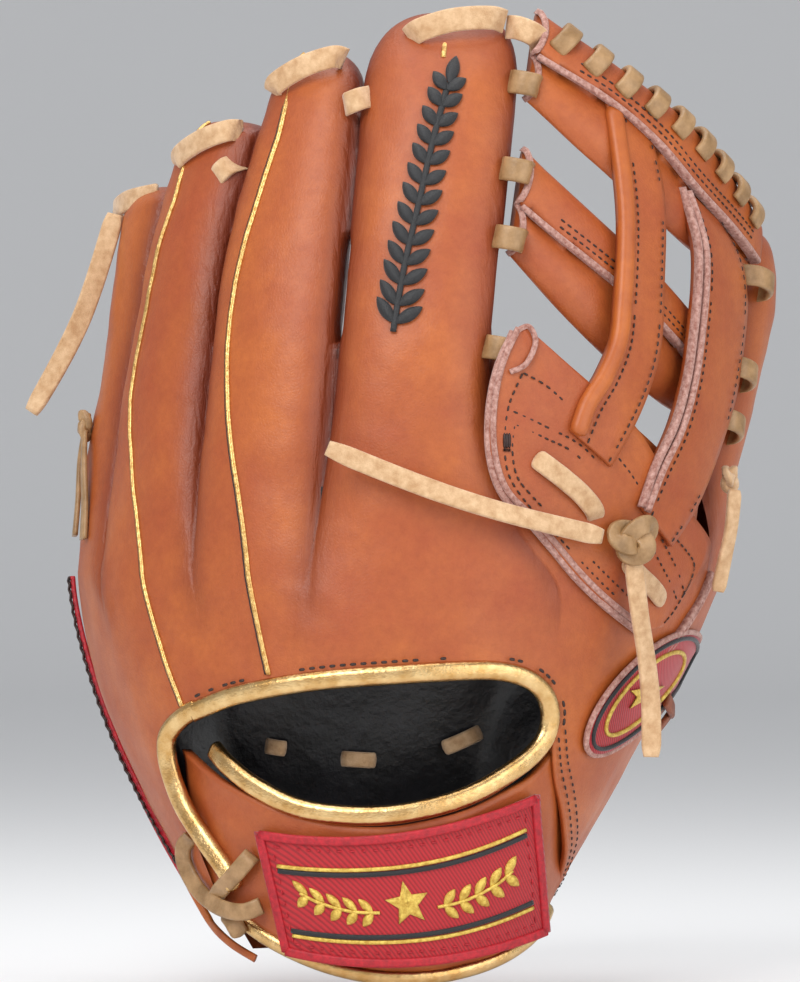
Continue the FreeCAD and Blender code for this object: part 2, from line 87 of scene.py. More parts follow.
def mix(a: float, b: float, t: float) -> float:
    """The value a share t of the way from a to b."""
    return a + (b - a) * t


class Line:
    """A smooth line through a few chosen (height, value) points, held level past its ends."""

    def __init__(self, *points: tuple[float, float]) -> None:
        """Sorts the points and finds a slope at each.

        Args:
            points: pairs of height and value.
        """
        self.points = sorted(points)
        self.slopes = []
        for i in range(len(self.points)):
            (z0, v0), (z1, v1) = self.points[max(0, i - 1)], self.points[min(len(points) - 1, i + 1)]
            self.slopes.append((v1 - v0) / (z1 - z0))

    def __call__(self, z: float) -> float:
        """The value at a height."""
        if z <= self.points[0][0]:
            return self.points[0][1]
        if z >= self.points[-1][0]:
            return self.points[-1][1]
        i = max(k for k in range(len(self.points)) if self.points[k][0] <= z)
        (z0, v0), (z1, v1) = self.points[i], self.points[i + 1]
        span = z1 - z0
        t = (z - z0) / span
        return ((2 * t ** 3 - 3 * t ** 2 + 1) * v0 + (t ** 3 - 2 * t ** 2 + t) * span * self.slopes[i]
                + (3 * t ** 2 - 2 * t ** 3) * v1 + (t ** 3 - t ** 2) * span * self.slopes[i + 1])


def lean(z: float) -> float:
    """How far the curl's centre stands towards the thumb at a height."""
    return 0.07 * (z + math.hypot(z, 30.0) - 30.0)


def radius(z: float) -> float:
    """The curl's radius at a height."""
    return CURL_RADIUS - 0.119 * max(0.0, 50.0 - z) ** 1.3


def angle_at(x: float, z: float) -> float:
    """The angle round the curl whose outer face stands at x."""
    return math.degrees(math.asin(max(-1.0, min(1.0, (x - lean(z)) / radius(z)))))


def arc(length: float, z: float) -> float:
    """The angle that spans a length on the outer face."""
    return math.degrees(length / radius(z))


def wall(angle: float, z: float) -> tuple[float, float, float, float, float]:
    """The back and palm ends of the line through the wall, in plan, and its length."""
    s, c, r = math.sin(math.radians(angle)), math.cos(math.radians(angle)), radius(z)
    thin = 22.0 - 8.0 * smooth((60.0 - z) / 110.0)
    middle = mix(27.0, 60.0, smooth((110.0 - z) / 150.0))
    edge_y = r + 16.0 * smooth(-z / 50.0)
    bx, by, px, py = r * s, r * (1.0 - c), (r - thin) * s, edge_y - (edge_y - middle) * c
    return bx, by, px, py, math.hypot(px - bx, py - by)


def depth_at(angle: float, z: float) -> float:
    """How thick the glove is there, from back to palm."""
    return wall(angle, z)[4]


def place(angle: float, z: float, depth: float) -> Vector:
    """The point at a depth under the back's outer face, in millimetres."""
    bx, by, px, py, length = wall(angle, z)
    f = depth / length
    bend = 0.0018 * max(0.0, z - 80.0) ** 2
    flare = 6.0 * smooth((angle - 55.0) / 40.0) * smooth((z - 70.0) / 60.0)
    return Vector((lean(z) + mix(bx, px, f) + flare, BACK_Y + bend + mix(by, py, f), z))


def on_back(x: float, z: float, depth: float) -> Vector:
    """The point at a depth, given by the x at which the outer face stands there."""
    return place(angle_at(x, z), z, depth)


def ripple(angle: float, z: float) -> float:
    """How far the leather dips or rises there, in slow waves."""
    return noise.noise(Vector((angle * 0.045, z * 0.03, 3.0))) * 1.5


def on_skin(x: float, z: float, depth: float) -> Vector:
    """The same as on_back, over the leather's slow waves."""
    angle = angle_at(x, z)
    return place(angle, z, depth + ripple(angle, z))


def skin_at(angle: float, z: float, depth: float) -> Vector:
    """The same as place, over the leather's slow waves."""
    return place(angle, z, depth + ripple(angle, z))


def strap_place(angle: float, z: float, depth: float) -> Vector:
    """A point on the wrist strap's own curve."""
    r = 66.0 - 0.14 * (-25.0 - z) - depth
    a = math.radians(angle)
    return Vector((r * math.sin(a), BACK_Y + 66.0 - r * math.cos(a), z))


def on_wrist(x: float, z: float, depth: float, share: float) -> Vector:
    """A point that lies on the hand's wall at share 0 and on the strap's curve at 1."""
    return on_back(x, z, depth).lerp(on_strap(x, z, depth), min(1.0, max(0.0, share)))


def on_strap(x: float, z: float, depth: float) -> Vector:
    """The point on the strap's curve whose outer face stands at x."""
    r = 66.0 - 0.14 * (-25.0 - z)
    return strap_place(math.degrees(math.asin(max(-1.0, min(1.0, x / r)))), z, depth)


# ---- Materials ----------------------------------------------------------------------------


def linear(hex_colour: str) -> tuple[float, float, float, float]:
    """Turns an sRGB hex colour into the linear colour a shader takes."""
    parts = [int(hex_colour[i:i + 2], 16) / 255.0 for i in (1, 3, 5)]
    parts = [c / 12.92 if c <= 0.04045 else ((c + 0.055) / 1.055) ** 2.4 for c in parts]
    return parts[0], parts[1], parts[2], 1.0


def per_mm(size: float) -> float:
    """The texture scale whose features are about this many millimetres across."""
    return 1.0 / (size * MM)


def node(tree: bpy.types.NodeTree, kind: str, inputs: dict | None = None, **settings) -> bpy.types.Node:
    """Adds a shader node.

    Args:
        tree: the material's node tree.
        kind: the node's type name.
        inputs: a value or a socket to link, for each input's name or number.
        settings: the node's own settings.

    Returns:
        The new node.
    """
    made = tree.nodes.new(kind)
    for name, value in settings.items():
        setattr(made, name, value)
    for name, value in (inputs or {}).items():
        if isinstance(value, bpy.types.NodeSocket):
            tree.links.new(value, made.inputs[name])
        else:
            made.inputs[name].default_value = value
    return made


def ramp(tree: bpy.types.NodeTree, factor: bpy.types.NodeSocket, *stops: tuple[float, str]) -> bpy.types.Node:
    """Adds a colour ramp with the given (position, hex colour) stops."""
    made = node(tree, "ShaderNodeValToRGB", {"Fac": factor})
    elements = made.color_ramp.elements
    while len(elements) < len(stops):
        elements.new(0.5)
    for element, (position, colour) in zip(elements, stops):
        element.position = position
        element.color = linear(colour)
    return made


def start_material(name: str) -> tuple[bpy.types.Material, bpy.types.NodeTree, bpy.types.Node,
                                       bpy.types.NodeSocket]:
    """Makes an empty material and returns it, its tree, its shader and its coordinates."""
    material = bpy.data.materials.new(name)
    material.use_nodes = True
    tree = material.node_tree
    shader = tree.nodes["Principled BSDF"]
    where = node(tree, "ShaderNodeTexCoord").outputs["Object"]
    return material, tree, shader, where


@dataclass(frozen=True)
class GloveLeather:
    """Full-grain steerhide, drum-dyed and oiled.

    The eye sees an orange tan that pales where it is stretched, under a soft waxy gloss
    broken by fine grain. Its folds and valleys are darkened towards red-brown as painted shade.
    """

    name: str = "steerhide_oiled"
    stretched: str = "#B8622A"
    body: str = "#A14A22"
    # The colour that the fold mask mixes in: painted shade in folds and valleys.
    folded: str = "#702B14"
    roughness: float = 0.46
    grain: float = 1.15
    pores: float = 0.42
    mottle: float = 34.0
    bump: float = 0.22

    def material(self) -> bpy.types.Material:
        """Builds the material."""
        material, tree, shader, where = start_material(self.name)
        cloud = node(tree, "ShaderNodeTexNoise", {"Vector": where, "Scale": per_mm(self.mottle),
                                                  "Detail": 5.0, "Roughness": 0.62})
        tone = ramp(tree, cloud.outputs["Fac"], (0.32, self.body), (0.50, "#AA5526"), (0.68, self.stretched))
        speck = node(tree, "ShaderNodeTexNoise", {"Vector": where, "Scale": per_mm(2.4),
                                                  "Detail": 4.0, "Roughness": 0.7})
        fleck = ramp(tree, speck.outputs["Fac"], (0.30, "#E6DCD2"), (0.62, "#FFFFFF"))
        flecked = node(tree, "ShaderNodeMix", {"Factor": 0.55, "A": tone.outputs["Color"],
                                               "B": fleck.outputs["Color"]},
                       data_type="RGBA", blend_type="MULTIPLY")
        colour = flecked.outputs["Result"]
        # The fold mask darkens the colour in folds and valleys as painted shade; it also masks the real
        # wrinkle bump.
        fold = node(tree, "ShaderNodeAttribute", attribute_name="fold").outputs["Fac"]
        folded = node(tree, "ShaderNodeMix", {"Factor": fold, "A": colour, "B": linear(self.folded)},
                      data_type="RGBA")
        tree.links.new(folded.outputs["Result"], shader.inputs["Base Color"])
        cells = node(tree, "ShaderNodeTexVoronoi", {"Vector": where, "Scale": per_mm(self.grain)},
                     feature="DISTANCE_TO_EDGE")
        grain = ramp(tree, cells.outputs["Distance"], (0.0, "#000000"), (0.28, "#FFFFFF"))
        pore = node(tree, "ShaderNodeTexNoise", {"Vector": where, "Scale": per_mm(self.pores), "Detail": 3.0})
        fine = node(tree, "ShaderNodeBump", {"Height": pore.outputs["Fac"], "Strength": self.bump * 0.9,
                                             "Distance": 0.12 * MM})
        skin = node(tree, "ShaderNodeBump", {"Height": grain.outputs["Color"], "Strength": self.bump,
                                             "Distance": 0.16 * MM, "Normal": fine.outputs["Normal"]})
        stretch = node(tree, "ShaderNodeMapping", {"Vector": where, "Scale": (1.0, 1.0, 0.28),
                                                   "Rotation": (0.0, 0.5, 0.0)})
        wrinkle = node(tree, "ShaderNodeTexNoise", {"Vector": stretch.outputs["Vector"],
                                                    "Scale": per_mm(2.6), "Detail": 4.0,
                                                    "Distortion": 0.6})
        wrinkled = node(tree, "ShaderNodeMath", {0: wrinkle.outputs["Fac"], 1: fold}, operation="MULTIPLY")
        creased = node(tree, "ShaderNodeBump", {"Height": wrinkled.outputs["Value"], "Strength": 0.8,
                                                "Distance": 1.1 * MM, "Normal": skin.outputs["Normal"]})
        tree.links.new(creased.outputs["Normal"], shader.inputs["Normal"])
        shine = node(tree, "ShaderNodeMapRange", {"Value": cloud.outputs["Fac"], "From Min": 0.3,
                                                  "From Max": 0.7, "To Min": self.roughness + 0.06,
                                                  "To Max": self.roughness - 0.05})
        tree.links.new(shine.outputs["Result"], shader.inputs["Roughness"])
        shader.inputs["IOR"].default_value = 1.48
        shader.inputs["Coat Weight"].default_value = 0.06
        shader.inputs["Coat Roughness"].default_value = 0.38
        return material


@dataclass(frozen=True)
class PlainFinish:
    """A finish with one pattern: a mottled colour, a bumpy surface and a gloss."""

    name: str
    light: str
    dark: str
    roughness: float
    mottle: float
    bump_size: float
    bump_height: float
    metallic: float = 0.0
    sheen: float = 0.0
    strands: tuple[float, float, float] = (1.0, 1.0, 1.0)

    def material(self) -> bpy.types.Material:
        """Builds the material."""
        material, tree, shader, where = start_material(self.name)
        stretched = node(tree, "ShaderNodeMapping", {"Vector": where, "Scale": self.strands})
        cloud = node(tree, "ShaderNodeTexNoise", {"Vector": where, "Scale": per_mm(self.mottle),
                                                  "Detail": 6.0, "Roughness": 0.65})
        tone = ramp(tree, cloud.outputs["Fac"], (0.35, self.dark), (0.65, self.light))
        tree.links.new(tone.outputs["Color"], shader.inputs["Base Color"])
        rough = node(tree, "ShaderNodeTexNoise", {"Vector": stretched.outputs["Vector"],
                                                  "Scale": per_mm(self.bump_size), "Detail": 5.0,
                                                  "Roughness": 0.6})
        bump = node(tree, "ShaderNodeBump", {"Height": rough.outputs["Fac"], "Strength": 0.6,
                                             "Distance": self.bump_height * MM})
        tree.links.new(bump.outputs["Normal"], shader.inputs["Normal"])
        shader.inputs["Roughness"].default_value = self.roughness
        shader.inputs["Metallic"].default_value = self.metallic
        shader.inputs["Sheen Weight"].default_value = self.sheen
        return material


@dataclass(frozen=True)
class Twill:
    """Polyester twill, woven and heat-cut: diagonal ribs that break the light in fine lines."""

    name: str = "polyester_twill_woven"
    light: str = "#B3131F"
    dark: str = "#8E0C17"
    rib: float = 0.8

    def material(self) -> bpy.types.Material:
        """Builds the material."""
        material, tree, shader, where = start_material(self.name)
        ribs = node(tree, "ShaderNodeTexWave", {"Vector": where, "Scale": 0.314 * per_mm(self.rib),
                                                "Distortion": 0.6, "Detail": 1.0},
                    bands_direction="DIAGONAL")
        tone = ramp(tree, ribs.outputs["Fac"], (0.1, self.dark), (0.7, self.light))
        tree.links.new(tone.outputs["Color"], shader.inputs["Base Color"])
        bump = node(tree, "ShaderNodeBump", {"Height": ribs.outputs["Fac"], "Strength": 0.5,
                                             "Distance": 0.2 * MM})
        tree.links.new(bump.outputs["Normal"], shader.inputs["Normal"])
        shader.inputs["Roughness"].default_value = 0.62
        shader.inputs["Sheen Weight"].default_value = 0.25
        return material


class Finish(Enum):
    """Every finish on the glove."""

    LEATHER = GloveLeather()
    # Lamb nappa, foil-laminated and rolled: a soft gold metal with pressed wrinkles.
    GOLD = PlainFinish("nappa_foil_laminated", "#E6C48C", "#C79B5E", 0.27, 6.0, 1.3, 0.30, metallic=1.0)
    # Metallised polyester thread, twisted: a brighter gold, finely broken along the seam.
    GOLD_THREAD = PlainFinish("metallised_thread_twisted", "#F0CB84", "#C08E4C", 0.30, 1.1, 0.7, 0.25,
                              metallic=0.9)
    # Rawhide, cut and oiled, grain side: pale tan, smooth, a little cracked.
    LACE = PlainFinish("rawhide_cut_oiled", "#AF8A60", "#87663F", 0.40, 7.0, 0.8, 0.22)
    # Rawhide, flesh side: paler and napped where the knife opened the fibres.
    LACE_NAP = PlainFinish("rawhide_flesh_napped", "#D9B58C", "#B88E63", 0.82, 4.0, 0.45, 0.35, sheen=0.3)
    # Steerhide, cut edge: undyed pinkish fibre, matt, with scuffs of the tan dye.
    RAW_EDGE = PlainFinish("steerhide_cut_edge", "#C39A8E", "#8E5A4C", 0.88, 1.3, 0.5, 0.35, sheen=0.2)
    # Steerhide rolled over a cord: the tan leather, stretched paler and smoother.
    ROLLED = PlainFinish("steerhide_rolled", "#B96326", "#A14E1E", 0.42, 14.0, 0.8, 0.10)
    # Pigskin, black, tumbled: the lining, matt with a faint sheen on its folds.
    LINING = PlainFinish("pigskin_tumbled", "#19181C", "#0B0A0C", 0.40, 12.0, 5.0, 0.9)
    # Wool, pressed into felt: off-white and fibrous.
    FELT = PlainFinish("wool_felt_pressed", "#CFC6B4", "#A79C88", 0.95, 3.0, 0.6, 0.4, sheen=0.4)
    # Nylon thread, bonded, dark brown: small glossy beads of thread.
    THREAD = PlainFinish("nylon_thread_bonded", "#3A1D14", "#1E0D09", 0.50, 1.0, 0.4, 0.1)
    # Rayon thread, embroidered black: satin ridges with a soft shine.
    BLACK_THREAD = PlainFinish("rayon_thread_black", "#101014", "#050507", 0.5, 2.0, 0.5, 0.35, sheen=0.2)
    # Rayon thread, embroidered gold.
    GOLD_FLOSS = PlainFinish("rayon_thread_gold", "#E9CC63", "#B88F34", 0.40, 1.4, 0.5, 0.35, metallic=0.35)
    # Rayon thread, embroidered red.
    RED_FLOSS = PlainFinish("rayon_thread_red", "#BE1828", "#93101D", 0.50, 1.6, 0.5, 0.30)
    # Steerhide, brown, split: a dull darker brown for the tab inside the thumb.
    BROWN = PlainFinish("steerhide_split_brown", "#8A4726", "#6B3219", 0.6, 6.0, 0.7, 0.2)
    TWILL = Twill()

    def dress(self, piece: bpy.types.Object, slot_name: str) -> None:
        """Puts this finish on a piece.

        Args:
            piece: the object to dress.
            slot_name: the record's slot; not used.
        """
        found = bpy.data.materials.get(self.value.name) or self.value.material()
        piece.data.materials.clear()
        piece.data.materials.append(found)


SLOTS = {
    Finish.LEATHER: "tan_leather", Finish.GOLD: "gold_leather", Finish.GOLD_THREAD: "gold_leather",
    Finish.LACE: "rawhide_lace", Finish.LACE_NAP: "rawhide_lace", Finish.RAW_EDGE: "tan_leather",
    Finish.ROLLED: "tan_leather", Finish.LINING: "black_lining", Finish.FELT: "wool_felt",
    Finish.THREAD: "tan_leather", Finish.BLACK_THREAD: "tan_leather", Finish.GOLD_FLOSS: "red_patch",
    Finish.RED_FLOSS: "red_patch", Finish.BROWN: "brown_tab", Finish.TWILL: "red_patch",
}

# ---- Meshes -------------------------------------------------------------------------------


class Body(Enum):
    """Where a piece rides. Pieces on the last two, which bend across a fold line, are only baked in place,
    not attached.
    """

    PALM = "palm"
    THUMB = "thumb_side"
    PINKY = "pinky_side"
    THUMB_FOLD = "thumb_fold"
    PINKY_FOLD = "pinky_fold"


class Mould:
    """Collects points and faces in millimetres and turns them into one finished piece."""

    def __init__(self, name: str) -> None:
        """Starts an empty piece."""
        self.name = name
        self.points: list[Vector] = []
        self.faces: list[tuple[int, ...]] = []
        self.folds: list[float] = []

    def point(self, where: Vector, fold: float = 0.0) -> int:
        """Adds a point and returns its number."""
        self.points.append(Vector(where))
        self.folds.append(fold)
        return len(self.points) - 1

    def grid(self, rows: Sequence[Sequence[int]], closed: bool = False) -> None:
        """Joins rows of points with faces; closed also joins each row's end to its start."""
        for low, high in zip(rows, rows[1:]):
            count = len(low) if closed else len(low) - 1
            for i in range(count):
                k = (i + 1) % len(low)
                self.faces.append((low[i], low[k], high[k], high[i]))

    def loft(self, rings: Sequence[Sequence[Vector]], caps: bool = True) -> None:
        """Joins rings of points into a tube, closing both ends."""
        rows = [[self.point(p) for p in ring] for ring in rings]
        self.grid(rows, closed=True)
        if caps:
            for row, flip in ((rows[0], True), (rows[-1], False)):
                centre = self.point(sum((self.points[i] for i in row), Vector()) / len(row))
                for i in range(len(row)):
                    pair = (row[i], row[(i + 1) % len(row)])
                    self.faces.append((pair[1], pair[0], centre) if flip else (pair[0], pair[1], centre))

    def build(self, finish: Finish, body: Body, *nodes: str, thickness: float = 0.0,
              weld: float = 0.0, subdivide: int = 0) -> bpy.types.Object:
        """Makes the object, dresses it and sets it on its body; on the two fold bodies it only bakes its
        transform.

        Args:
            finish: what it is made of.
            body: where it rides.
            nodes: the CAD nodes that it stands for.
            thickness: how far an open sheet is thickened inwards.
            weld: points nearer than this are joined.
            subdivide: levels of subdivision.

        Returns:
            The finished piece.
        """
        mesh = bpy.data.meshes.new(self.name)
        mesh.from_pydata([p * MM for p in self.points], [], self.faces)
        # The fold attribute marks where the leather folds; the leather material paints shade there and
        # wrinkles it.
        fold = mesh.attributes.new("fold", "FLOAT", "POINT")
        fold.data.foreach_set("value", self.folds)
        work = bmesh.new()
        work.from_mesh(mesh)
        if weld:
            bmesh.ops.remove_doubles(work, verts=work.verts, dist=weld * MM)
        bmesh.ops.recalc_face_normals(work, faces=work.faces)
        if thickness:
            self.face_outwards(work)
            bmesh.ops.solidify(work, geom=work.faces[:], thickness=thickness * MM)
        work.to_mesh(mesh)
        work.free()
        mesh.shade_smooth()
        piece = bpy.data.objects.new(self.name, mesh)
        bpy.context.scene.collection.objects.link(piece)
        if subdivide:
            modifier = piece.modifiers.new("subdivision", "SUBSURF")
            modifier.levels = modifier.render_levels = subdivide
            graph = bpy.context.evaluated_depsgraph_get()
            applied = bpy.data.meshes.new_from_object(piece.evaluated_get(graph))
            piece.modifiers.clear()
            piece.data = applied
        finish.dress(piece, SLOTS[finish])
        if body is Body.THUMB_FOLD:
            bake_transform(piece)
        elif body is Body.PINKY_FOLD:
            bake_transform(piece)
        else:
            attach(piece, body.value)
        if nodes:
            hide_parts(*nodes)
        LOG.info("%s: %d faces on %s", self.name, len(piece.data.polygons), body.value)
        return piece

    @staticmethod
    def face_outwards(work: bmesh.types.BMesh) -> None:
        """Turns an open sheet's faces away from the hand."""
        inside = Vector((0.0, 0.005, 0.05))
        total = sum(f.normal.dot(f.calc_center_median() - inside) * f.calc_area() for f in work.faces)
        if total < 0.0:
            bmesh.ops.reverse_faces(work, faces=work.faces)


def spline(points: Sequence[Sequence[float]], per_span: int = 8) -> list[list[float]]:
    """A smooth line of numbers through chosen ones.

    Args:
        points: the chosen points, each a few numbers.
        per_span: how many steps between two of them.

    Returns:
        The points of the smooth line, ends included.
    """
    out = []
    for i in range(len(points) - 1):
        p0, p1, p2 = points[max(0, i - 1)], points[i], points[i + 1]
        p3 = points[min(len(points) - 1, i + 2)]
        for k in range(per_span):
            t = k / per_span
            out.append([0.5 * (2 * b + (c - a) * t + (2 * a - 5 * b + 4 * c - d) * t * t
                               + (3 * b - a - 3 * c + d) * t ** 3)
                        for a, b, c, d in zip(p0, p1, p2, p3)])
    out.append(list(points[-1]))
    return out


Placer = Callable[..., Vector]


def rings_along(stations: Sequence[Sequence[float]], profile: Sequence[tuple[float, float]],
                at: Placer = on_back, widths: Callable[[float], float] = lambda t: 1.0) -> list[list[Vector]]:
    """Sets a cross-section along a line that lies on the wall.

    Args:
        stations: the line's points, each as the placer takes it.
        profile: the section as (across, outwards) pairs.
        at: the placer that gives a point for three numbers.
        widths: a scale for the section at each share of the length.

    Returns:
        One ring of points per station.
    """
    points = [at(*s) for s in stations]
    rings = []
    for i, station in enumerate(stations):
        before, after = points[max(0, i - 1)], points[min(len(points) - 1, i + 1)]
        out = (points[i] - at(*station[:2], station[2] + 1.0, *station[3:])).normalized()
        side = (after - before).cross(out).normalized()
        scale = widths(i / (len(stations) - 1))
        rings.append([points[i] + side * (u * scale) + out * (v * scale) for u, v in profile])
    return rings


def rounded(width: float, height: float, corner: float, per_corner: int = 4,
            per_side: int = 3) -> list[tuple[float, float]]:
    """The outline of a rectangle with rounded corners."""
    out = []
    corner = min(corner, width / 2.0 - 0.01, height / 2.0 - 0.01)
    centres = ((1, 1, 0), (-1, 1, 90), (-1, -1, 180), (1, -1, 270))
    for sx, sy, start in centres:
        cx, cy = sx * (width / 2.0 - corner), sy * (height / 2.0 - corner)
        for k in range(per_corner + 1):
            a = math.radians(start + 90.0 * k / per_corner)
            out.append((cx + corner * math.cos(a), cy + corner * math.sin(a)))
    full = []
    for i, p in enumerate(out):
        full.append(p)
        q = out[(i + 1) % len(out)]
        if math.dist(p, q) > corner:
            full += [(mix(p[0], q[0], k / per_side), mix(p[1], q[1], k / per_side))
                     for k in range(1, per_side)]
    return full


def circle(size: float, count: int = 12) -> list[tuple[float, float]]:
    """The outline of a round cord."""
    return [(size / 2.0 * math.cos(2 * math.pi * k / count), size / 2.0 * math.sin(2 * math.pi * k / count))
            for k in range(count)]

# ---- Leather of the hand ------------------------------------------------------------------

PINKY_EDGE = Line((20, -95), (102, -99), (165, -93))
PINKY_RING = Line((20, -61), (54, -67), (102, -73), (170, -66))
RING_MIDDLE = Line((20, -34), (60, -40), (102, -44), (147, -44.5), (190, -40))
MIDDLE_INDEX = Line((20, -15), (102, -16.7), (205, -20))
INDEX_EDGE = Line((20, 33), (45, 29), (62, 20), (85, 14.2), (102, 12.6), (205, 10))
THUMB_INNER = Line((60, 70), (102, 74), (150, 76))
THUMB_OUTER = Line((20, 96), (102, 103), (150, 100))
RING_SEAM = Line((8, -44), (54, -51.3), (102, -62), (140, -60), (174, -54.9))
MIDDLE_SEAM = Line((18, -22.5), (60, -28), (102, -35.7), (132, -37.8), (165, -35), (198, -30.8))
# The lower edge of the back, by angle: the flap, the open back, then the strap's seam.
BACK_FOOT = Line((-61, -46), (-58.9, -44), (-56.5, -22), (-53.6, 0), (-42.7, 9), (-31.7, 15), (-16.7, 19.5),
                 (2.4, 22.5), (19.6, 23), (29.1, 18), (35.8, 10.5), (38.7, 3), (42, -6), (50, -17), (58, -26),
                 (66, -33), (78, -43), (90, -50), (97, -52))
HEEL_FOOT = -64.0
CROTCH_TOP = Line((12, 116), (30, 98), (45, 76), (61, 64), (72, 60))


@dataclass
class Finger:
    """One stall's outline and roundness, or the crotch between the index and the thumb."""

    left: Line
    right: Line
    left_top: float
    right_top: float
    tip: float
    left_fade: tuple[float, float] = (28.0, 108.0)
    right_fade: tuple[float, float] = (28.0, 108.0)
    seam: Line | None = None
    shoulder: float = 2.4
    arch: float = 2.3
    slit: float = 0.0

    def share(self, a: float, z: float) -> float:
        """How far across the finger column a stands at a height."""
        if self.seam is None:
            return a
        z = min(z, self.left_top, self.right_top)
        middle = (self.seam(z) - self.left(z)) / (self.right(z) - self.left(z))
        return mix(0.0, middle, 2.0 * a) if a < 0.5 else mix(middle, 1.0, 2.0 * a - 1.0)

    def angle(self, a: float, z: float) -> float:
        """The angle of column a at a height."""
        return mix(self.left(z), self.right(z), self.share(a, z))

    def shoulder_height(self, s: float) -> float:
        """Where the tip's rounding begins, a share s across."""
        return mix(self.left_top, self.right_top, smooth(s))

    def outline(self, a: float) -> float:
        """The height of the tip's outline on column a."""
        s = self.share(a, 999.0)
        low = self.shoulder_height(s)
        rest = max(0.0, 1.0 - abs(2.0 * s - 1.0) ** self.shoulder)
        return low + (self.tip - low) * rest ** (1.0 / self.shoulder)

    def rolloff(self, s: float, z: float) -> float:
        """How far the face has rolled towards the side seam, from 0 to 1."""
        low = self.shoulder_height(s)
        up = max(0.0, (z - low) / max(1.0, self.tip - low))
        q = min(1.0, (abs(2.0 * s - 1.0) ** self.shoulder + up ** self.shoulder) ** (1.0 / self.shoulder))
        return 1.0 - (1.0 - q ** self.arch) ** (1.0 / self.arch)

    def fullness(self, s: float, z: float) -> float:
        """How deep the valleys are there, from 0 to 1; they fade out towards the wrist."""
        sides = []
        for low, high in (self.left_fade, self.right_fade):
            sides.append(smooth((z - low) / (high - low)) ** 1.2)
        return mix(sides[0], sides[1], smooth(s))

    def point(self, a: float, z: float, front: bool) -> tuple[Vector, float]:
        """A point on the finger's back or front leather, and how much it folds there, a measure that also
        paints shade.
        """
        s = self.share(a, z)
        angle = mix(self.left(z), self.right(z), s)
        whole = depth_at(angle, z)
        rolled = self.rolloff(s, z) * self.fullness(s, z)
        edge = min(s, 1.0 - s) * radius(z) * math.radians(self.right(z) - self.left(z))
        crease = smooth((z - 24.0) / 25.0) * math.exp(-(edge / 5.5) ** 2)
        inner = self.left_fade[0] > 0.0 if s < 0.5 else self.right_fade[0] > 0.0
        # fold darkens the leather as painted shade where it rolls towards the side seams and along the
        # valleys between stalls.
        fold = min(1.0, 0.85 * rolled ** 1.3 + (0.55 * crease if inner else 0.0))
        waver = ripple(angle, z)
        waver += noise.noise(Vector((angle * 0.20, z * 0.11, 7.0))) * (0.35 + 0.9 * fold)
        waver *= 1.0 - self.rolloff(s, z) * (1.0 if z > 100.0 else self.fullness(s, z))
        if front:
            depth = whole - (1.0 - SEAM_SHARE) * whole * rolled - waver
        else:
            depth = SEAM_SHARE * whole * rolled + waver
        if self.slit and (s < 0.02 or s > 0.98):
            shift = self.slit * smooth((z - 118.0) / 8.0) * smooth((153.0 - z) / 8.0)
            angle += arc(shift, z) if s < 0.5 else -arc(shift, z)
        return place(angle, z, depth), fold


@dataclass
class Crotch(Finger):
    """The leather between the index and the thumb, which the web's base lies on."""

    before: Finger | None = None
    after: Finger | None = None

    def outline(self, a: float) -> float:
        """The height of the crotch's top edge."""
        return CROTCH_TOP(mix(13.0, 70.0, a))

    def point(self, a: float, z: float, front: bool) -> tuple[Vector, float]:
        """A point that leaves the index's side, lies flat, and joins the thumb's side."""
        start, fold_a = self.before.point(1.0, z, front)
        end, fold_b = self.after.point(0.0, z, front)
        if a <= 0.0:
            return start, fold_a
        if a >= 1.0:
            return end, fold_b
        angle = mix(self.left(z), self.right(z), a)
        whole = depth_at(angle, z)
        depth = ripple(angle, z)
        if front:
            top = CROTCH_TOP(mix(13.0, 70.0, a))
            depth = mix(whole, 5.0, smooth((z - 8.0) / (top - 8.0)) ** 1.4) - depth
        middle = place(angle, z, depth)
        near = start if a < 0.5 else end
        side = self.left(z) if a < 0.5 else self.right(z)
        level = place(side, z, depth)
        hold = 1.0 - smooth(min(a, 1.0 - a) / 0.16)
        # fold paints shade into the corners where the crotch meets the index and the thumb.
        fold = 0.35 * math.exp(-(min(a, 1.0 - a) / 0.1) ** 2) * smooth((z - 50.0) / 25.0)
        return middle + (near - level) * hold, fold


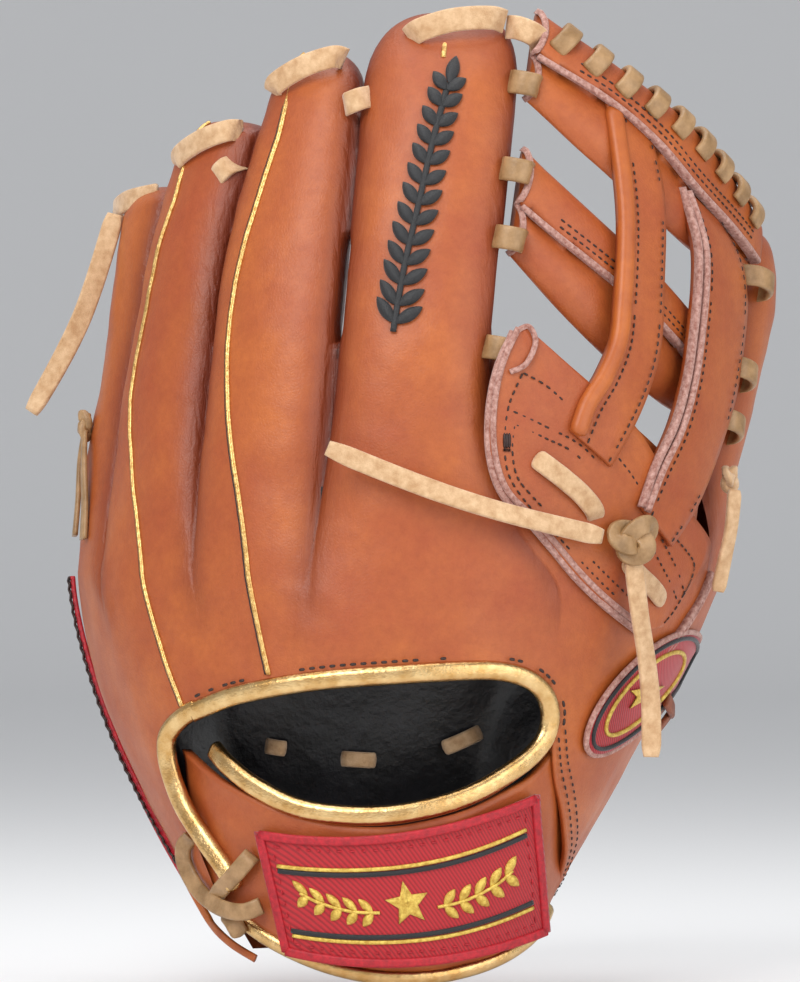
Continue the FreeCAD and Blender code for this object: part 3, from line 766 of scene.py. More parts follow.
@dataclass
class HandLeather:
    """The shell: backs and fronts of the stalls, the heel, the welts, and the lining inside."""

    columns: int = 30
    rows: tuple[int, int, int] = (64, 44, 22)

    def fingers(self) -> tuple[Finger, Finger, Finger, Finger, Crotch, Finger]:
        """The stalls from the pinky to the thumb, with the crotch before the thumb."""
        always = (-1000.0, -999.0)
        pinky = Finger(PINKY_EDGE, PINKY_RING, 150, 162, 168.5, left_fade=always)
        ring = Finger(PINKY_RING, RING_MIDDLE, 162, 181, 187.5, seam=RING_SEAM)
        middle = Finger(RING_MIDDLE, MIDDLE_INDEX, 181, 189, 208, seam=MIDDLE_SEAM)
        index = Finger(MIDDLE_INDEX, INDEX_EDGE, 189, 188, 219.5, right_fade=(66.0, 118.0), shoulder=2.9)
        thumb = Finger(THUMB_INNER, THUMB_OUTER, 128, 122, 155, left_fade=(52.0, 90.0), right_fade=always)
        crotch = Crotch(INDEX_EDGE, THUMB_INNER, 116, 60, 60, before=index, after=thumb)
        middle.slit = index.slit = 0.9
        return pinky, ring, middle, index, crotch, thumb

    def heights(self, finger: Finger, a: float, front: bool) -> list[float]:
        """The heights of a column's points, from its foot to the tip's outline."""
        top = finger.outline(a)
        if isinstance(finger, Crotch):
            joints = (CROTCH_TOP(mix(13.0, 70.0, a)),)
        elif finger.left is THUMB_INNER:
            joints = (CROTCH_TOP(70.0), finger.shoulder_height(finger.share(a, 999.0)), top)
        else:
            joints = (CROTCH_TOP(13.0), finger.shoulder_height(finger.share(a, 999.0)), top)
        foot = HEEL_FOOT
        if not front:
            foot = 0.0
            for _ in range(6):
                foot = max(-56.0, BACK_FOOT(finger.angle(a, foot)))
        out = [mix(foot, joints[0], k / self.rows[0]) for k in range(self.rows[0] + 1)]
        if len(joints) > 1:
            out += [mix(joints[0], joints[1], k / self.rows[1]) for k in range(1, self.rows[1] + 1)]
            out += [mix(joints[1], joints[2], math.sin(math.pi / 2.0 * k / self.rows[2]))
                    for k in range(1, self.rows[2] + 1)]
        return out

    def panel(self, name: str, parts: Iterable[tuple[Finger, float, float]], body: Body,
              nodes: Sequence[str]) -> bpy.types.Object:
        """Joins the back and front of some fingers into one piece of leather.

        Args:
            name: the piece's name.
            parts: each finger with the shares of its width where the panel starts and ends.
            body: where it rides.
            nodes: the CAD nodes that it stands for.

        Returns:
            The piece.
        """
        mould = Mould(name)
        for finger, start, end in parts:
            count = max(6, round(self.columns * (end - start)))
            for front in (False, True):
                rows = []
                for i in range(count + 1):
                    a = mix(start, end, self.spread(i / count) if end - start == 1.0 else i / count)
                    column = []
                    for z in self.heights(finger, a, front):
                        where, fold = finger.point(a, z, front)
                        column.append(mould.point(where, fold))
                    rows.append(column)
                mould.grid(rows)
        return mould.build(Finish.LEATHER, body, *nodes, weld=0.08)

    @staticmethod
    def spread(t: float) -> float:
        """Draws columns a little towards a finger's sides, where it curves most."""
        return mix(t, 0.5 - 0.5 * math.cos(math.pi * t), 0.55)

    def build(self) -> None:
        """Makes the leather, the linings and the welts."""
        pinky, ring, middle, index, crotch, thumb = self.fingers()
        self.panel("leather_little_side", ((pinky, 0.0, 1.0), (ring, 0.0, 1.0), (middle, 0.0, 0.5)),
                   Body.PINKY_FOLD,
                   ("pinky_finger_back", "pinky_finger_front", "ring_finger_back", "ring_finger_front",
                    "pinky_flap", "pinky_palm"))
        self.panel("leather_thumb_side", ((middle, 0.5, 1.0), (index, 0.0, 1.0), (crotch, 0.0, 1.0),
                                          (thumb, 0.0, 1.0)), Body.THUMB_FOLD,
                   ("middle_finger_back", "middle_finger_front", "index_finger_back",
                    "index_finger_front", "thumb_back", "thumb_front", "thumb_base_back",
                    "palm_leather", "thumb_palm"))
        for name, finger, line in (("ring", ring, RING_SEAM), ("middle", middle, MIDDLE_SEAM)):
            self.welt(name, finger, line)
        self.lining()

    def welt(self, name: str, finger: Finger, line: Line) -> None:
        """The gold piping over a stall's back seam: two fine cords beside a dark cord of painted shadow."""
        foot = BACK_FOOT(line(10.0)) + 2.0
        top = finger.outline(0.5)
        body = Body.PINKY if name == "ring" else Body.PALM
        cords = Mould(name + "_finger_piping")
        shadow_cord = Mould(name + "_finger_piping_shadow")
        centre = []
        for k in range(121):
            z = mix(foot, top - 0.6, smooth(k / 120) if k > 108 else k / 120)
            centre.append((z, finger.point(0.5, z, False)[0]))
        # The third cord is dark brown and lies in the groove as painted shadow.
        for mould, side, size, lift in ((cords, -0.05, 0.62, 0.30), (cords, 0.50, 0.46, 0.22),
                                        (shadow_cord, -0.95, 0.42, 0.05)):
            rings = []
            for i, (z, p) in enumerate(centre):
                q = finger.point(0.47, z, False)[0]
                across = (p - q).normalized()
                along = (centre[min(120, i + 1)][1] - centre[max(0, i - 1)][1]).normalized()
                out = along.cross(across).normalized()
                if out.y > 0.0:
                    out.negate()
                bead = 1.0 + 0.08 * math.sin(i * 2.1)
                rings.append([p + across * (side + size * u * bead) + out * (lift + size * v * bead)
                              for u, v in circle(2.0, 8)])
            mould.loft(rings)
        cords.build(Finish.GOLD_THREAD, body, name + "_finger_welt")
        # The dark cord takes the dark thread finish, as painted shadow.
        shadow_cord.build(Finish.THREAD, body)

    def lining(self) -> None:
        """The black lining bowl inside the hand and the lining under the back."""
        bowl = Mould("palm_lining_bowl")
        rows = []
        for i in range(41):
            a = i / 40
            rows.append([])
            for k in range(41):
                z = mix(-60.0, 76.0, k / 40)
                angle = mix(-62.0, 48.0, a)
                whole = depth_at(angle, z)
                side = smooth((abs(2.0 * a - 1.0) - 0.62) / 0.38)
                top = smooth((z - 26.0) / 50.0)
                depth = mix(mix(whole - 12.5, 6.0, side * smooth((z + 40.0) / 50.0)), 8.0, top)
                depth += noise.noise(Vector((angle * 0.05, z * 0.04, 11.0))) * 1.5
                rows[-1].append(bowl.point(place(angle, z, min(depth, whole - 6.0))))
        bowl.grid(rows)
        bowl.build(Finish.LINING, Body.PALM, "palm_lining")
        back = Mould("back_lining")
        rows = []
        for i in range(31):
            angle = mix(-56.0, 38.0, i / 30)
            foot = BACK_FOOT(angle) + 0.5
            rows.append([back.point(place(angle, mix(foot, 60.0, k / 12), 4.6)) for k in range(13)])
        back.grid(rows)
        back.build(Finish.LINING, Body.PALM, "hand_back_lining", thickness=0.8)


# ---- Straps, bindings and laces -----------------------------------------------------------


def ribbon(mould: Mould, points: Sequence[Vector], across: Sequence[Vector] | Vector,
           profile: Sequence[tuple[float, float]], taper: float = 0.0) -> None:
    """Sweeps a section along points in space.

    Args:
        mould: the piece to add to.
        points: the path.
        across: the section's width direction, one for all points or one each.
        profile: the section as (across, outwards) pairs.
        taper: how much the two ends narrow, from 0 to 1.
    """
    rings = []
    last = len(points) - 1
    for i, p in enumerate(points):
        along = (points[min(last, i + 1)] - points[max(0, i - 1)]).normalized()
        wide = across if isinstance(across, Vector) else across[i]
        wide = (wide - along * wide.dot(along)).normalized()
        out = along.cross(wide).normalized()
        end = min(i, last - i) / max(1, last)
        scale = 1.0 - taper * max(0.0, 1.0 - end / 0.06) ** 2
        rings.append([p + wide * (u * scale) + out * v for u, v in profile])
    mould.loft(rings)


def lace_section(width: float = 6.0, thick: float = 2.0) -> list[tuple[float, float]]:
    """A rawhide lace's section."""
    return rounded(width, thick, 0.7, 3, 3)


def lay(mould: Mould, stations: Sequence[Sequence[float]], profile: Sequence[tuple[float, float]],
        at: Placer = on_back, per_span: int = 8, ends: float = 0.0) -> None:
    """Sweeps a section along a smooth line through (x or angle, z, depth) stations.

    Args:
        mould: the piece to add to.
        stations: the line's chosen points.
        profile: the section as (across, outwards) pairs.
        at: the placer for the stations.
        per_span: steps between two stations.
        ends: the share of the length over which each end rounds off.
    """
    def width(t: float) -> float:
        """The share of the full width that is left at a share of the length."""
        if ends <= 0.0:
            return 1.0
        near = min(1.0, min(t, 1.0 - t) / ends)
        return math.sqrt(max(0.04, 1.0 - (1.0 - near) ** 2))

    mould.loft(rings_along(spline(stations, per_span), profile, at, width))


def stitches(mould: Mould, stations: Sequence[Sequence[float]], at: Placer = on_back, length: float = 1.75,
             gap: float = 0.45, size: float = 0.62) -> None:
    """Adds a line of stitches lying on a surface.

    Args:
        mould: the piece to add to.
        stations: the line's points.
        at: the placer for them.
        length: each stitch's length.
        gap: the space between two.
        size: the thread's width.
    """
    line = spline(stations, 24)
    points = [at(*s) for s in line]
    normals = [(p - at(s[0], s[1], s[2] + 1.0)).normalized() for p, s in zip(points, line)]
    travelled, start = 0.0, None
    run: list[int] = []
    for i in range(1, len(points)):
        travelled += (points[i] - points[i - 1]).length
        if travelled >= length + gap:
            travelled = 0.0
            start = None
        elif start is None:
            start = i
        if start is not None and travelled >= length and i > start:
            p, q, n = points[start], points[i], normals[i]
            along = (q - p).normalized()
            side = along.cross(n).normalized()
            span = (q - p).length
            rings = []
            for t, w in ((0.0, 0.35), (0.15, 0.9), (0.5, 1.0), (0.85, 0.9), (1.0, 0.35)):
                lift = 0.15 * size + 0.25 * size * math.sin(math.pi * t)
                centre = p + along * (span * t) + n * lift
                rings.append([centre + side * (u * w) + n * (v * w * 0.6) for u, v in circle(size, 6)])
            mould.loft(rings)
            start = None
            travelled = length
            run.append(i)


def sheet_between(mould: Mould, rows: Sequence[Sequence[Sequence[float]]], near: float, thick: float,
                  at: Placer) -> None:
    """A closed sheet lying on a surface through rows of (x or angle, z) points."""
    grids = []
    for extra in (near, near + thick):
        grids.append([[mould.point(at(p[0], p[1], extra + (p[2] if len(p) > 2 else 0.0))) for p in row]
                      for row in rows])
    for grid in grids:
        mould.grid(grid)
    rim = [[g[0] for g in grid] for grid in grids], [[g[-1] for g in grid] for grid in grids]
    for low, high in rim:
        mould.grid([low, high])
    mould.grid([grids[0][0], grids[1][0]])
    mould.grid([grids[0][-1], grids[1][-1]])


def disc_rows(centre: tuple[float, float], size: tuple[float, float], turn: float, power: float = 2.0,
              rings: int = 8, around: int = 48) -> list[list[tuple[float, float]]]:
    """Rings of points that fill an oval, or a rounded rectangle at a higher power."""
    c, s = math.cos(math.radians(turn)), math.sin(math.radians(turn))
    rows = []
    for k in range(rings + 1):
        row = []
        for i in range(around + 1):
            a = 2.0 * math.pi * i / around
            u = math.copysign(abs(math.cos(a)) ** (2.0 / power), math.cos(a)) * size[0] / 2.0
            v = math.copysign(abs(math.sin(a)) ** (2.0 / power), math.sin(a)) * size[1] / 2.0
            t = max(0.001, k / rings)
            row.append((centre[0] + t * (u * c - v * s), centre[1] + t * (u * s + v * c)))
        rows.append(row)
    return rows


@dataclass
class Wrist:
    """The strap with its bindings and label, and the gold bindings round the opening."""

    binding: float = 6.0
    binding_thick: float = 4.6
    strap_left: float = -62.0
    strap_right: float = 84.0
    strap_edge: Line = field(default_factory=lambda: Line(
        (-62, -3.0), (-45, -11.8), (-30, -18.6), (-15, -23.6), (0, -25), (12, -23.2), (24, -19.6),
        (36, -13.8),
        (42, -10.6), (47, -6.4), (52, -2.0), (58, -8), (66, -22), (84, -38)))
    label_corners: tuple = ((-27.6, -62.6), (48.4, -57.4), (45.4, -15.8), (-35.6, -26.6))
    label_wide: float = 82.0
    label_high: float = 37.0

    def strap_foot(self, angle: float) -> float:
        """The strap's lower edge, lowest under the label."""
        return -68.5 + 15.0 * ((angle - 8.0) / 48.0) ** 2

    def sink(self, angle: float) -> float:
        """How far the strap's ends tuck under their neighbours."""
        return 1.5 * smooth((-angle - 40.0) / 20.0) + 5.0 * smooth((angle - 44.0) / 24.0)

    def build(self) -> None:
        """Makes everything at the wrist."""
        self.strap()
        self.bindings()
        self.seams()
        self.label()
        self.lacing()

    def strap(self) -> None:
        """The strap's leather and its lining."""
        for name, near, thick, finish, node_name in (
                ("strap_leather", 0.0, 3.0, Finish.LEATHER, "wrist_strap"),
                ("strap_inner_lining", 3.4, 1.2, Finish.LINING, "strap_lining")):
            mould = Mould(name)
            rows = []
            for i in range(81):
                angle = mix(self.strap_left, self.strap_right, i / 80)
                low = self.strap_foot(angle)
                high = max(low + 1.0, self.strap_edge(angle) - (0.0 if near == 0.0 else 1.5))
                rows.append([(angle, mix(low, high, k / 20),
                              self.sink(angle) + noise.noise(Vector((angle * 0.07, k * 0.2, 5.0))) * 0.8)
                             for k in range(21)])
            sheet_between(mould, rows, near, thick, strap_place)
            mould.build(finish, Body.PALM, node_name)

    def bindings(self) -> None:
        """Gold leather rolled over the opening, the flap and both edges of the strap."""
        wide = rounded(self.binding, self.binding_thick, 2.2, 6, 3)
        top = Mould("opening_binding_roll")
        lay(top, [(-56.5, 8.4, 0.6, 0), (-50.5, 11.0, 0.4, 0), (-42.6, 13.9, 0.4, 0), (-28.0, 17.0, 0.4, 0),
                  (-13.6, 18.9, 0.4, 0), (1.0, 20.0, 0.4, 0), (15.4, 20.9, 0.4, 0), (26.0, 21.4, 0.4, 0),
                  (35.5, 21.2, 0.4, 0), (43.6, 19.0, 0.4, 0), (48.9, 14.6, 0.4, 0), (51.0, 8.5, 0.4, 0.1),
                  (50.0, 2.0, 0.4, 0.35), (46.6, -3.2, 0.6, 0.8), (41.0, -7.8, 0.6, 1), (29.5, -14.6, 0.6, 1),
                  (15.4, -19.3, 0.6, 1), (-2.2, -21.7, 0.6, 1), (-22.4, -20.0, 0.6, 1),
                  (-36.5, -14.0, 0.8, 1),
                  (-46.2, -7.4, 1.6, 1), (-52.5, -2.8, 4.0, 1)], wide, on_wrist)
        top.build(Finish.GOLD, Body.PALM, "opening_binding", "strap_top_binding")
        flap = Mould("flap_binding_roll")
        lay(flap, [(-54.5, 10.0, 0.9), (-58.5, 7.4, 0.0), (-62.2, 3.6, -0.5), (-63.8, -0.8, -0.8),
                   (-62.9, -8.4, -1.0),
                   (-58.9, -19.3, -1.2), (-52.6, -29.2, -1.3), (-46.2, -38.0, -1.3), (-42.6, -44.5, -0.6)],
            wide, ends=0.03)
        flap.build(Finish.GOLD, Body.PINKY, "flap_binding")
        lower = Mould("strap_bottom_roll")
        lay(lower, [(a, self.strap_foot(a) - 1.6, 1.2 + self.sink(a))
                    for a in (-54, -40, -28, -14, 0, 14, 28, 40, 52, 62)], rounded(4.8, 4.4, 2.1, 6, 2),
                    strap_place)
        lower.build(Finish.GOLD, Body.PALM, "strap_bottom_binding")

    def seams(self) -> None:
        """The chain stitch round the opening, and the seam at the strap's thumb end."""
        chain = Mould("opening_chain_stitch")
        above = [(-55.0, 13.2), (-50.0, 15.4), (-42.6, 17.8), (-28.0, 20.9), (-13.6, 22.8), (1.0, 23.9),
                 (15.4, 24.8),
                 (26.0, 25.3), (36.2, 25.1), (45.6, 22.6), (52.0, 17.0), (54.8, 9.5), (54.0, 2.0)]
        stitches(chain, [(x, z, -1.3) for x, z in above], on_skin, 2.3, 0.25, 0.95)
        chain.build(Finish.THREAD, Body.PALM)
        seam = Mould("thumb_heel_stitches")
        for shift in (2.0, 4.4):
            line = [(a + 0.4 * shift, BACK_FOOT(a) + shift, -0.5) for a in (40, 45, 52, 60, 68, 76, 84, 90)]
            stitches(seam, line, skin_at)
        seam.build(Finish.THREAD, Body.THUMB)
        edge = Mould("thumb_heel_cut_edge")
        lay(edge, [(a, BACK_FOOT(a), 1.0) for a in (39, 45, 52, 60, 68, 76, 84, 92)],
            rounded(1.4, 2.8, 0.6, 3, 2), skin_at)
        edge.build(Finish.LEATHER, Body.THUMB)

    def on_label(self, a: float, b: float, depth: float) -> Vector:
        """The point a share a along the label and b up it, at a depth under its face."""
        low = [mix(self.label_corners[0][n], self.label_corners[1][n], a) for n in (0, 1)]
        high = [mix(self.label_corners[3][n], self.label_corners[2][n], a) for n in (0, 1)]
        sag = 6.0 * (1.0 - (2.0 * a - 1.0) ** 2)
        puff = noise.noise(Vector((a * 3.0, b * 2.0, 1.0))) * 0.5
        return on_strap(mix(low[0], high[0], b), mix(low[1], high[1], b) - sag, depth + puff - 1.6)

    def label(self) -> None:
        """The sewn label: a folded red border, paired stripes and a star between leaves."""
        tag = Mould("strap_label_patch")
        rows = [[(i / 50, k / 24) for k in range(25)] for i in range(51)]
        sheet_between(tag, rows, -2.0, 2.6, self.on_label)
        tag.build(Finish.TWILL, Body.PALM, "strap_label")
        border = Mould("strap_label_border")
        for line in (((0.02, 0.02), (0.25, 0.02), (0.5, 0.02), (0.75, 0.02), (0.98, 0.02)),
                     ((0.02, 0.98), (0.25, 0.98), (0.5, 0.98), (0.75, 0.98), (0.98, 0.98)),
                     ((0.02, 0.02), (0.02, 0.5), (0.02, 0.98)), ((0.98, 0.02), (0.98, 0.5), (0.98, 0.98))):
            lay(border, [(a, b, -2.2) for a, b in line], rounded(2.8, 1.6, 0.7, 4, 3), self.on_label)
        inner = ((0.055, 0.10), (0.3, 0.10), (0.5, 0.10), (0.7, 0.10), (0.945, 0.10))
        for line in (inner, [(a, 1.0 - b) for a, b in inner], [(0.055, t) for t in (0.10, 0.5, 0.90)],
                     [(0.945, t) for t in (0.10, 0.5, 0.90)]):
            stitches(border, [(a, b, -2.1) for a, b in line], self.on_label, 1.9, 0.9, 0.6)
        border.build(Finish.RED_FLOSS, Body.PALM)
        black, gold = Mould("strap_label_dark_stripes"), Mould("strap_label_gold_work")
        for mould, base, width in ((gold, 0.755, 1.2), (black, 0.715, 1.5), (black, 0.225, 1.5),
                                   (gold, 0.185, 1.2)):
            lay(mould, [(a, base + 0.05 * (2.0 * a - 1.0) ** 2 * (1.0 if a > 0.5 else -0.4), -2.2)
                        for a in (0.06, 0.2, 0.35, 0.5, 0.65, 0.8, 0.94)],
                rounded(width, 1.0, 0.4, 3, 2), self.on_label)
        self.gold_work(gold)
        black.build(Finish.BLACK_THREAD, Body.PALM)
        gold.build(Finish.GOLD_FLOSS, Body.PALM)

    def gold_work(self, mould: Mould) -> None:
        """A star between two leafy branches, in satin stitch."""
        def at(x: float, z: float, depth: float) -> Vector:
            """A point in millimetres from the middle of the label's field."""
            return self.on_label(0.5 + x / self.label_wide, 0.47 + z / self.label_high, depth)

        emblem(mould, (0.0, 0.0), 6.6, -2.4, at, 4.0)
        for side in (-1.0, 1.0):
            branch = [(side * 8.5, -2.0, -2.3), (side * 17.0, -1.6, -2.3), (side * 26.0, 0.4, -2.3),
                      (side * 31.0, 2.6, -2.3)]
            lay(mould, branch, rounded(1.0, 0.9, 0.4, 3, 2), at)
            for k in range(5):
                x = 10.5 + 4.6 * k
                z = -2.0 + 0.010 * (x - 8.5) ** 2
                for up in (-1.0, 1.0):
                    turn = 48.0 * up if side > 0.0 else 180.0 - 48.0 * up
                    c, s = math.cos(math.radians(turn)), math.sin(math.radians(turn))
                    leaf(mould, (side * x + c * 2.7, z + s * 2.7), 5.4, 2.5, turn, -2.3, at)

    def lacing(self) -> None:
        """The laces that tie the flap to the strap, the thin strip, and those in the lining."""
        lace = Mould("strap_lace_loops")
        lay(lace, [(-38.0, -33.6, 0.2), (-39.4, -35.6, -2.2), (-43.0, -40.2, -3.4), (-47.4, -45.4, -3.2),
                   (-48.6, -48.6, -1.6)], rounded(5.4, 2.0, 0.9, 4, 3))
        lay(lace, [(-57.0, -29.5, 0.5), (-58.0, -32.5, -3.0), (-57.2, -38.0, -3.6), (-53.0, -45.0, -4.4),
                   (-46.6, -49.6, -5.6), (-40.0, -50.8, -5.0), (-35.2, -48.8, -1.0)],
                   rounded(5.2, 2.0, 0.9, 4, 3))
        lay(lace, [(-46.0, -51.0, -2.2), (-43.0, -54.0, -3.6), (-40.6, -58.4, -3.2)],
            rounded(5.6, 2.0, 0.9, 4, 3),
            ends=0.2)
        lace.build(Finish.LACE, Body.PINKY, "strap_lace")
        strip = Mould("strap_thin_strip")
        lay(strip, [(-59.0, -40.0, -0.4), (-56.6, -47.0, -1.0), (-51.0, -55.4, -1.0), (-45.0, -61.0, 0.0),
                    (-37.6, -65.2, 1.5)], rounded(2.4, 1.8, 0.7, 3, 2))
        strip.build(Finish.ROLLED, Body.PINKY)
        ovals = Mould("lining_lace_ovals")
        for x, z, reach, rise in ((-36.5, -2.6, 4.4, -0.5), (-7.4, -6.3, 6.6, -0.3), (28.6, -0.4, 6.8, 2.6)):
            angle, turn = math.degrees(math.asin(x / 78.0)), math.degrees(1.0 / 78.0)
            near = depth_at(angle, z) - 16.0
            stations = [(angle + turn * reach * t, z + rise * t,
                         near + 2.5 * abs(t) ** 3) for t in (-1, -0.6, 0, 0.6, 1)]
            lay(ovals, stations, rounded(4.8, 2.4, 1.1, 4, 3), place, ends=0.12)
        ovals.build(Finish.LACE_NAP, Body.PALM, "palm_lace")


def emblem(mould: Mould, centre: tuple[float, float], size: float, lift: float, at: Placer,
           turn: float = 0.0) -> None:
    """A raised five-pointed star, in satin stitch."""
    rows: list[list[tuple[float, float, float]]] = []
    for k in range(5):
        row = []
        for i in range(11):
            r = size if i % 2 == 0 else size * 0.45
            a = math.radians(90.0 + turn + 36.0 * i)
            t = max(0.01, k / 4)
            row.append((centre[0] + t * r * math.cos(a), centre[1] + t * r * math.sin(a), -0.7 * (1.0 - t)))
        rows.append(row)
    sheet_between(mould, rows, lift, 1.0, at)


def leaf(mould: Mould, centre: tuple[float, float], length: float, width: float, turn: float,
         lift: float, at: Placer) -> None:
    """A raised leaf in satin stitch, pointed at both ends."""
    c, s = math.cos(math.radians(turn)), math.sin(math.radians(turn))
    rows = []
    for k in range(13):
        t = k / 12
        half = width / 2.0 * math.sin(math.pi * t) ** 0.8 + 0.05
        row = []
        for i in range(7):
            v = mix(-half, half, i / 6)
            u = (t - 0.5) * length
            row.append((centre[0] + u * c - v * s, centre[1] + u * s + v * c,
                        -0.9 * (1.0 - (2.0 * i / 6 - 1.0) ** 2) * math.sin(math.pi * t)))
        rows.append(row)
    sheet_between(mould, rows, lift, 1.0, at)


# ---- The web ------------------------------------------------------------------------------


def parabola(points: Sequence[tuple[float, float]]) -> Callable[[float], float]:
    """The parabola through three (angle, z) points."""
    (z0, a), (z1, b), (z2, c) = points
    return lambda z: (a * (z - z1) * (z - z2) / ((z0 - z1) * (z0 - z2))
                      + b * (z - z0) * (z - z2) / ((z1 - z0) * (z1 - z2))
                      + c * (z - z0) * (z - z1) / ((z2 - z0) * (z2 - z1)))


@dataclass
class Bar:
    """A diagonal bar: an upper roll whose cut edge laps over a lower roll.

    The middle line is a parabola through three (angle, z) points; the height and the
    seam's offset from the middle line change with the angle.
    """

    name: str
    line: tuple[tuple[float, float], tuple[float, float], tuple[float, float]]
    height: Line
    seam: Line
    upper_face: float = 2.2
    lower_face: float = 4.4
    depth: float = 8.0
    lobe: float = 1.7

    def middle(self, angle: float) -> float:
        """The middle line's height at an angle."""
        return parabola(self.line)(angle)

    def front(self, angle: float, v: float) -> float:
        """The front face's depth at a place across the bar, from -0.5 to 0.5."""
        split = self.seam(angle) / self.height(angle)
        if v >= split:
            up = (v - split) / (0.5 - split)
            return mix(self.upper_face, self.depth, 1.0 - math.sqrt(max(0.0, 1.0 - min(1.0, up) ** 4.5)))
        down = (split - v) / (split + 0.5)
        return self.depth - (self.depth - self.lower_face) * max(0.0, math.sin(math.pi * down)) ** 0.55

    def across(self, v: float, split: float) -> float:
        """How far the cut end bulges at a place across the bar, from 0 to 1."""
        if v >= split:
            return max(0.0, math.sin(math.pi * (v - split) / (0.5 - split))) ** 0.6
        return max(0.0, math.sin(math.pi * (split - v) / (split + 0.5))) ** 0.6

    def section(self, angle: float, bulge: float = 0.0) -> list[Vector]:
        """The ring of points round the bar at an angle."""
        height, split = self.height(angle), self.seam(angle) / self.height(angle)
        ring = []
        for face in (-1.0, 1.0):
            for k in range(31):
                t = k / 30
                v = -0.5 + 0.5 * (1.0 - math.cos(math.pi * t))
                v = v if face < 0.0 else -v
                puff = noise.noise(Vector((angle * 0.12, v * 3.0, face))) * 0.4
                if face < 0.0:
                    depth = self.front(angle, v)
                else:
                    depth = self.depth + 4.2 * math.sqrt(max(0.0, 1.0 - abs(2.0 * v) ** 4))
                shift = bulge * max(0.0, self.across(v, split)) if face < 0.0 else 0.0
                ring.append(place(angle + shift, self.middle(angle) + v * height, depth + puff))
        return ring

    def build(self) -> None:
        """Makes the bar, its cut seam and ends, and its stitches."""
        first, last = self.line[0][0], self.line[2][0]
        mould = Mould(self.name + "_rolls")
        rings = []
        for k in range(81):
            t = k / 80
            rings.append(self.section(mix(first, last, t), self.lobe * max(0.0, 1.0 - t / 0.08)))
        mould.loft(rings)
        mould.build(Finish.LEATHER, Body.THUMB, self.name, weld=0.02)
        edge = Mould(self.name + "_cut_edges")
        split = self.seam(first) / self.height(first)
        rim = []
        for k in range(41):
            v = 0.5 - k / 40
            angle = first + self.lobe * max(0.0, self.across(v, split)) - 0.2
            rim.append((angle, self.middle(first) + v * self.height(first), self.front(first, v) - 0.2))
        edge.loft(rings_along(rim, rounded(2.0, 1.8, 0.7, 3, 2), place))
        along = [mix(first + 0.8, last - 0.6, k / 16) for k in range(17)]
        lay(edge, [(a, self.middle(a) + self.seam(a) - 0.2, self.upper_face + 1.2) for a in along],
            rounded(1.9, 3.4, 0.7, 3, 2), place)
        edge.build(Finish.RAW_EDGE, Body.THUMB)
        thread = Mould(self.name + "_stitches")
        for up in (2.7, 4.9):
            stitches(thread, [(a, self.middle(a) + self.seam(a) + up, self.upper_face) for a in along[2:-1]],
                     place)
        thread.build(Finish.THREAD, Body.THUMB)


def between(left: Sequence[Sequence[float]], right: Sequence[Sequence[float]],
            share: float, lift: float = 0.0) -> list[list[float]]:
    """The line a share of the way from one line of stations to another."""
    return [[mix(p, q, share) + (lift if i == 2 else 0.0) for i, (p, q) in enumerate(zip(a, b))]
            for a, b in zip(left, right)]


@dataclass
class Post:
    """An upright of the web, given by the (x, z, depth) stations of its two edges."""

    name: str
    left: tuple[tuple[float, float, float], ...]
    right: tuple[tuple[float, float, float], ...]
    rolled: bool

    def build(self) -> None:
        """Makes the leather, its left edge and its stitches."""
        leather = Mould(self.name + "_leather")
        left, right = spline(self.left, 8), spline(self.right, 8)
        rows = []
        for i, (p, q) in enumerate(zip(left, right)):
            row = []
            for k in range(13):
                t = k / 12
                sag = 0.9 * (abs(2.0 * t - 1.0) ** 5) + noise.noise(Vector((i * 0.09, t * 2.0, 4.0))) * 0.5
                row.append((mix(p[0], q[0], t), mix(p[1], q[1], t), mix(p[2], q[2], t) + sag))
            rows.append(row)
        sheet_between(leather, rows, 0.0, 2.6, on_back)
        leather.build(Finish.LEATHER, Body.THUMB, self.name)
        edge = Mould(self.name + "_edge")
        if self.rolled:
            lay(edge, between(self.left, self.right, 0.13, 0.4), rounded(5.6, 4.6, 2.2, 5, 2), ends=0.04)
        else:
            lay(edge, between(self.left, self.right, 0.03, 0.8), rounded(2.2, 2.8, 0.8, 4, 2))
            lay(edge, between(self.left, self.right, 0.13, -0.6), rounded(2.0, 2.2, 0.8, 4, 2))
        edge.build(Finish.ROLLED if self.rolled else Finish.RAW_EDGE, Body.THUMB)
        thread = Mould(self.name + "_stitches")
        for share in (0.36, 0.88) if self.rolled else (0.27, 0.90):
            stitches(thread, between(self.left, self.right, share, -0.1))
        thread.build(Finish.THREAD, Body.THUMB)


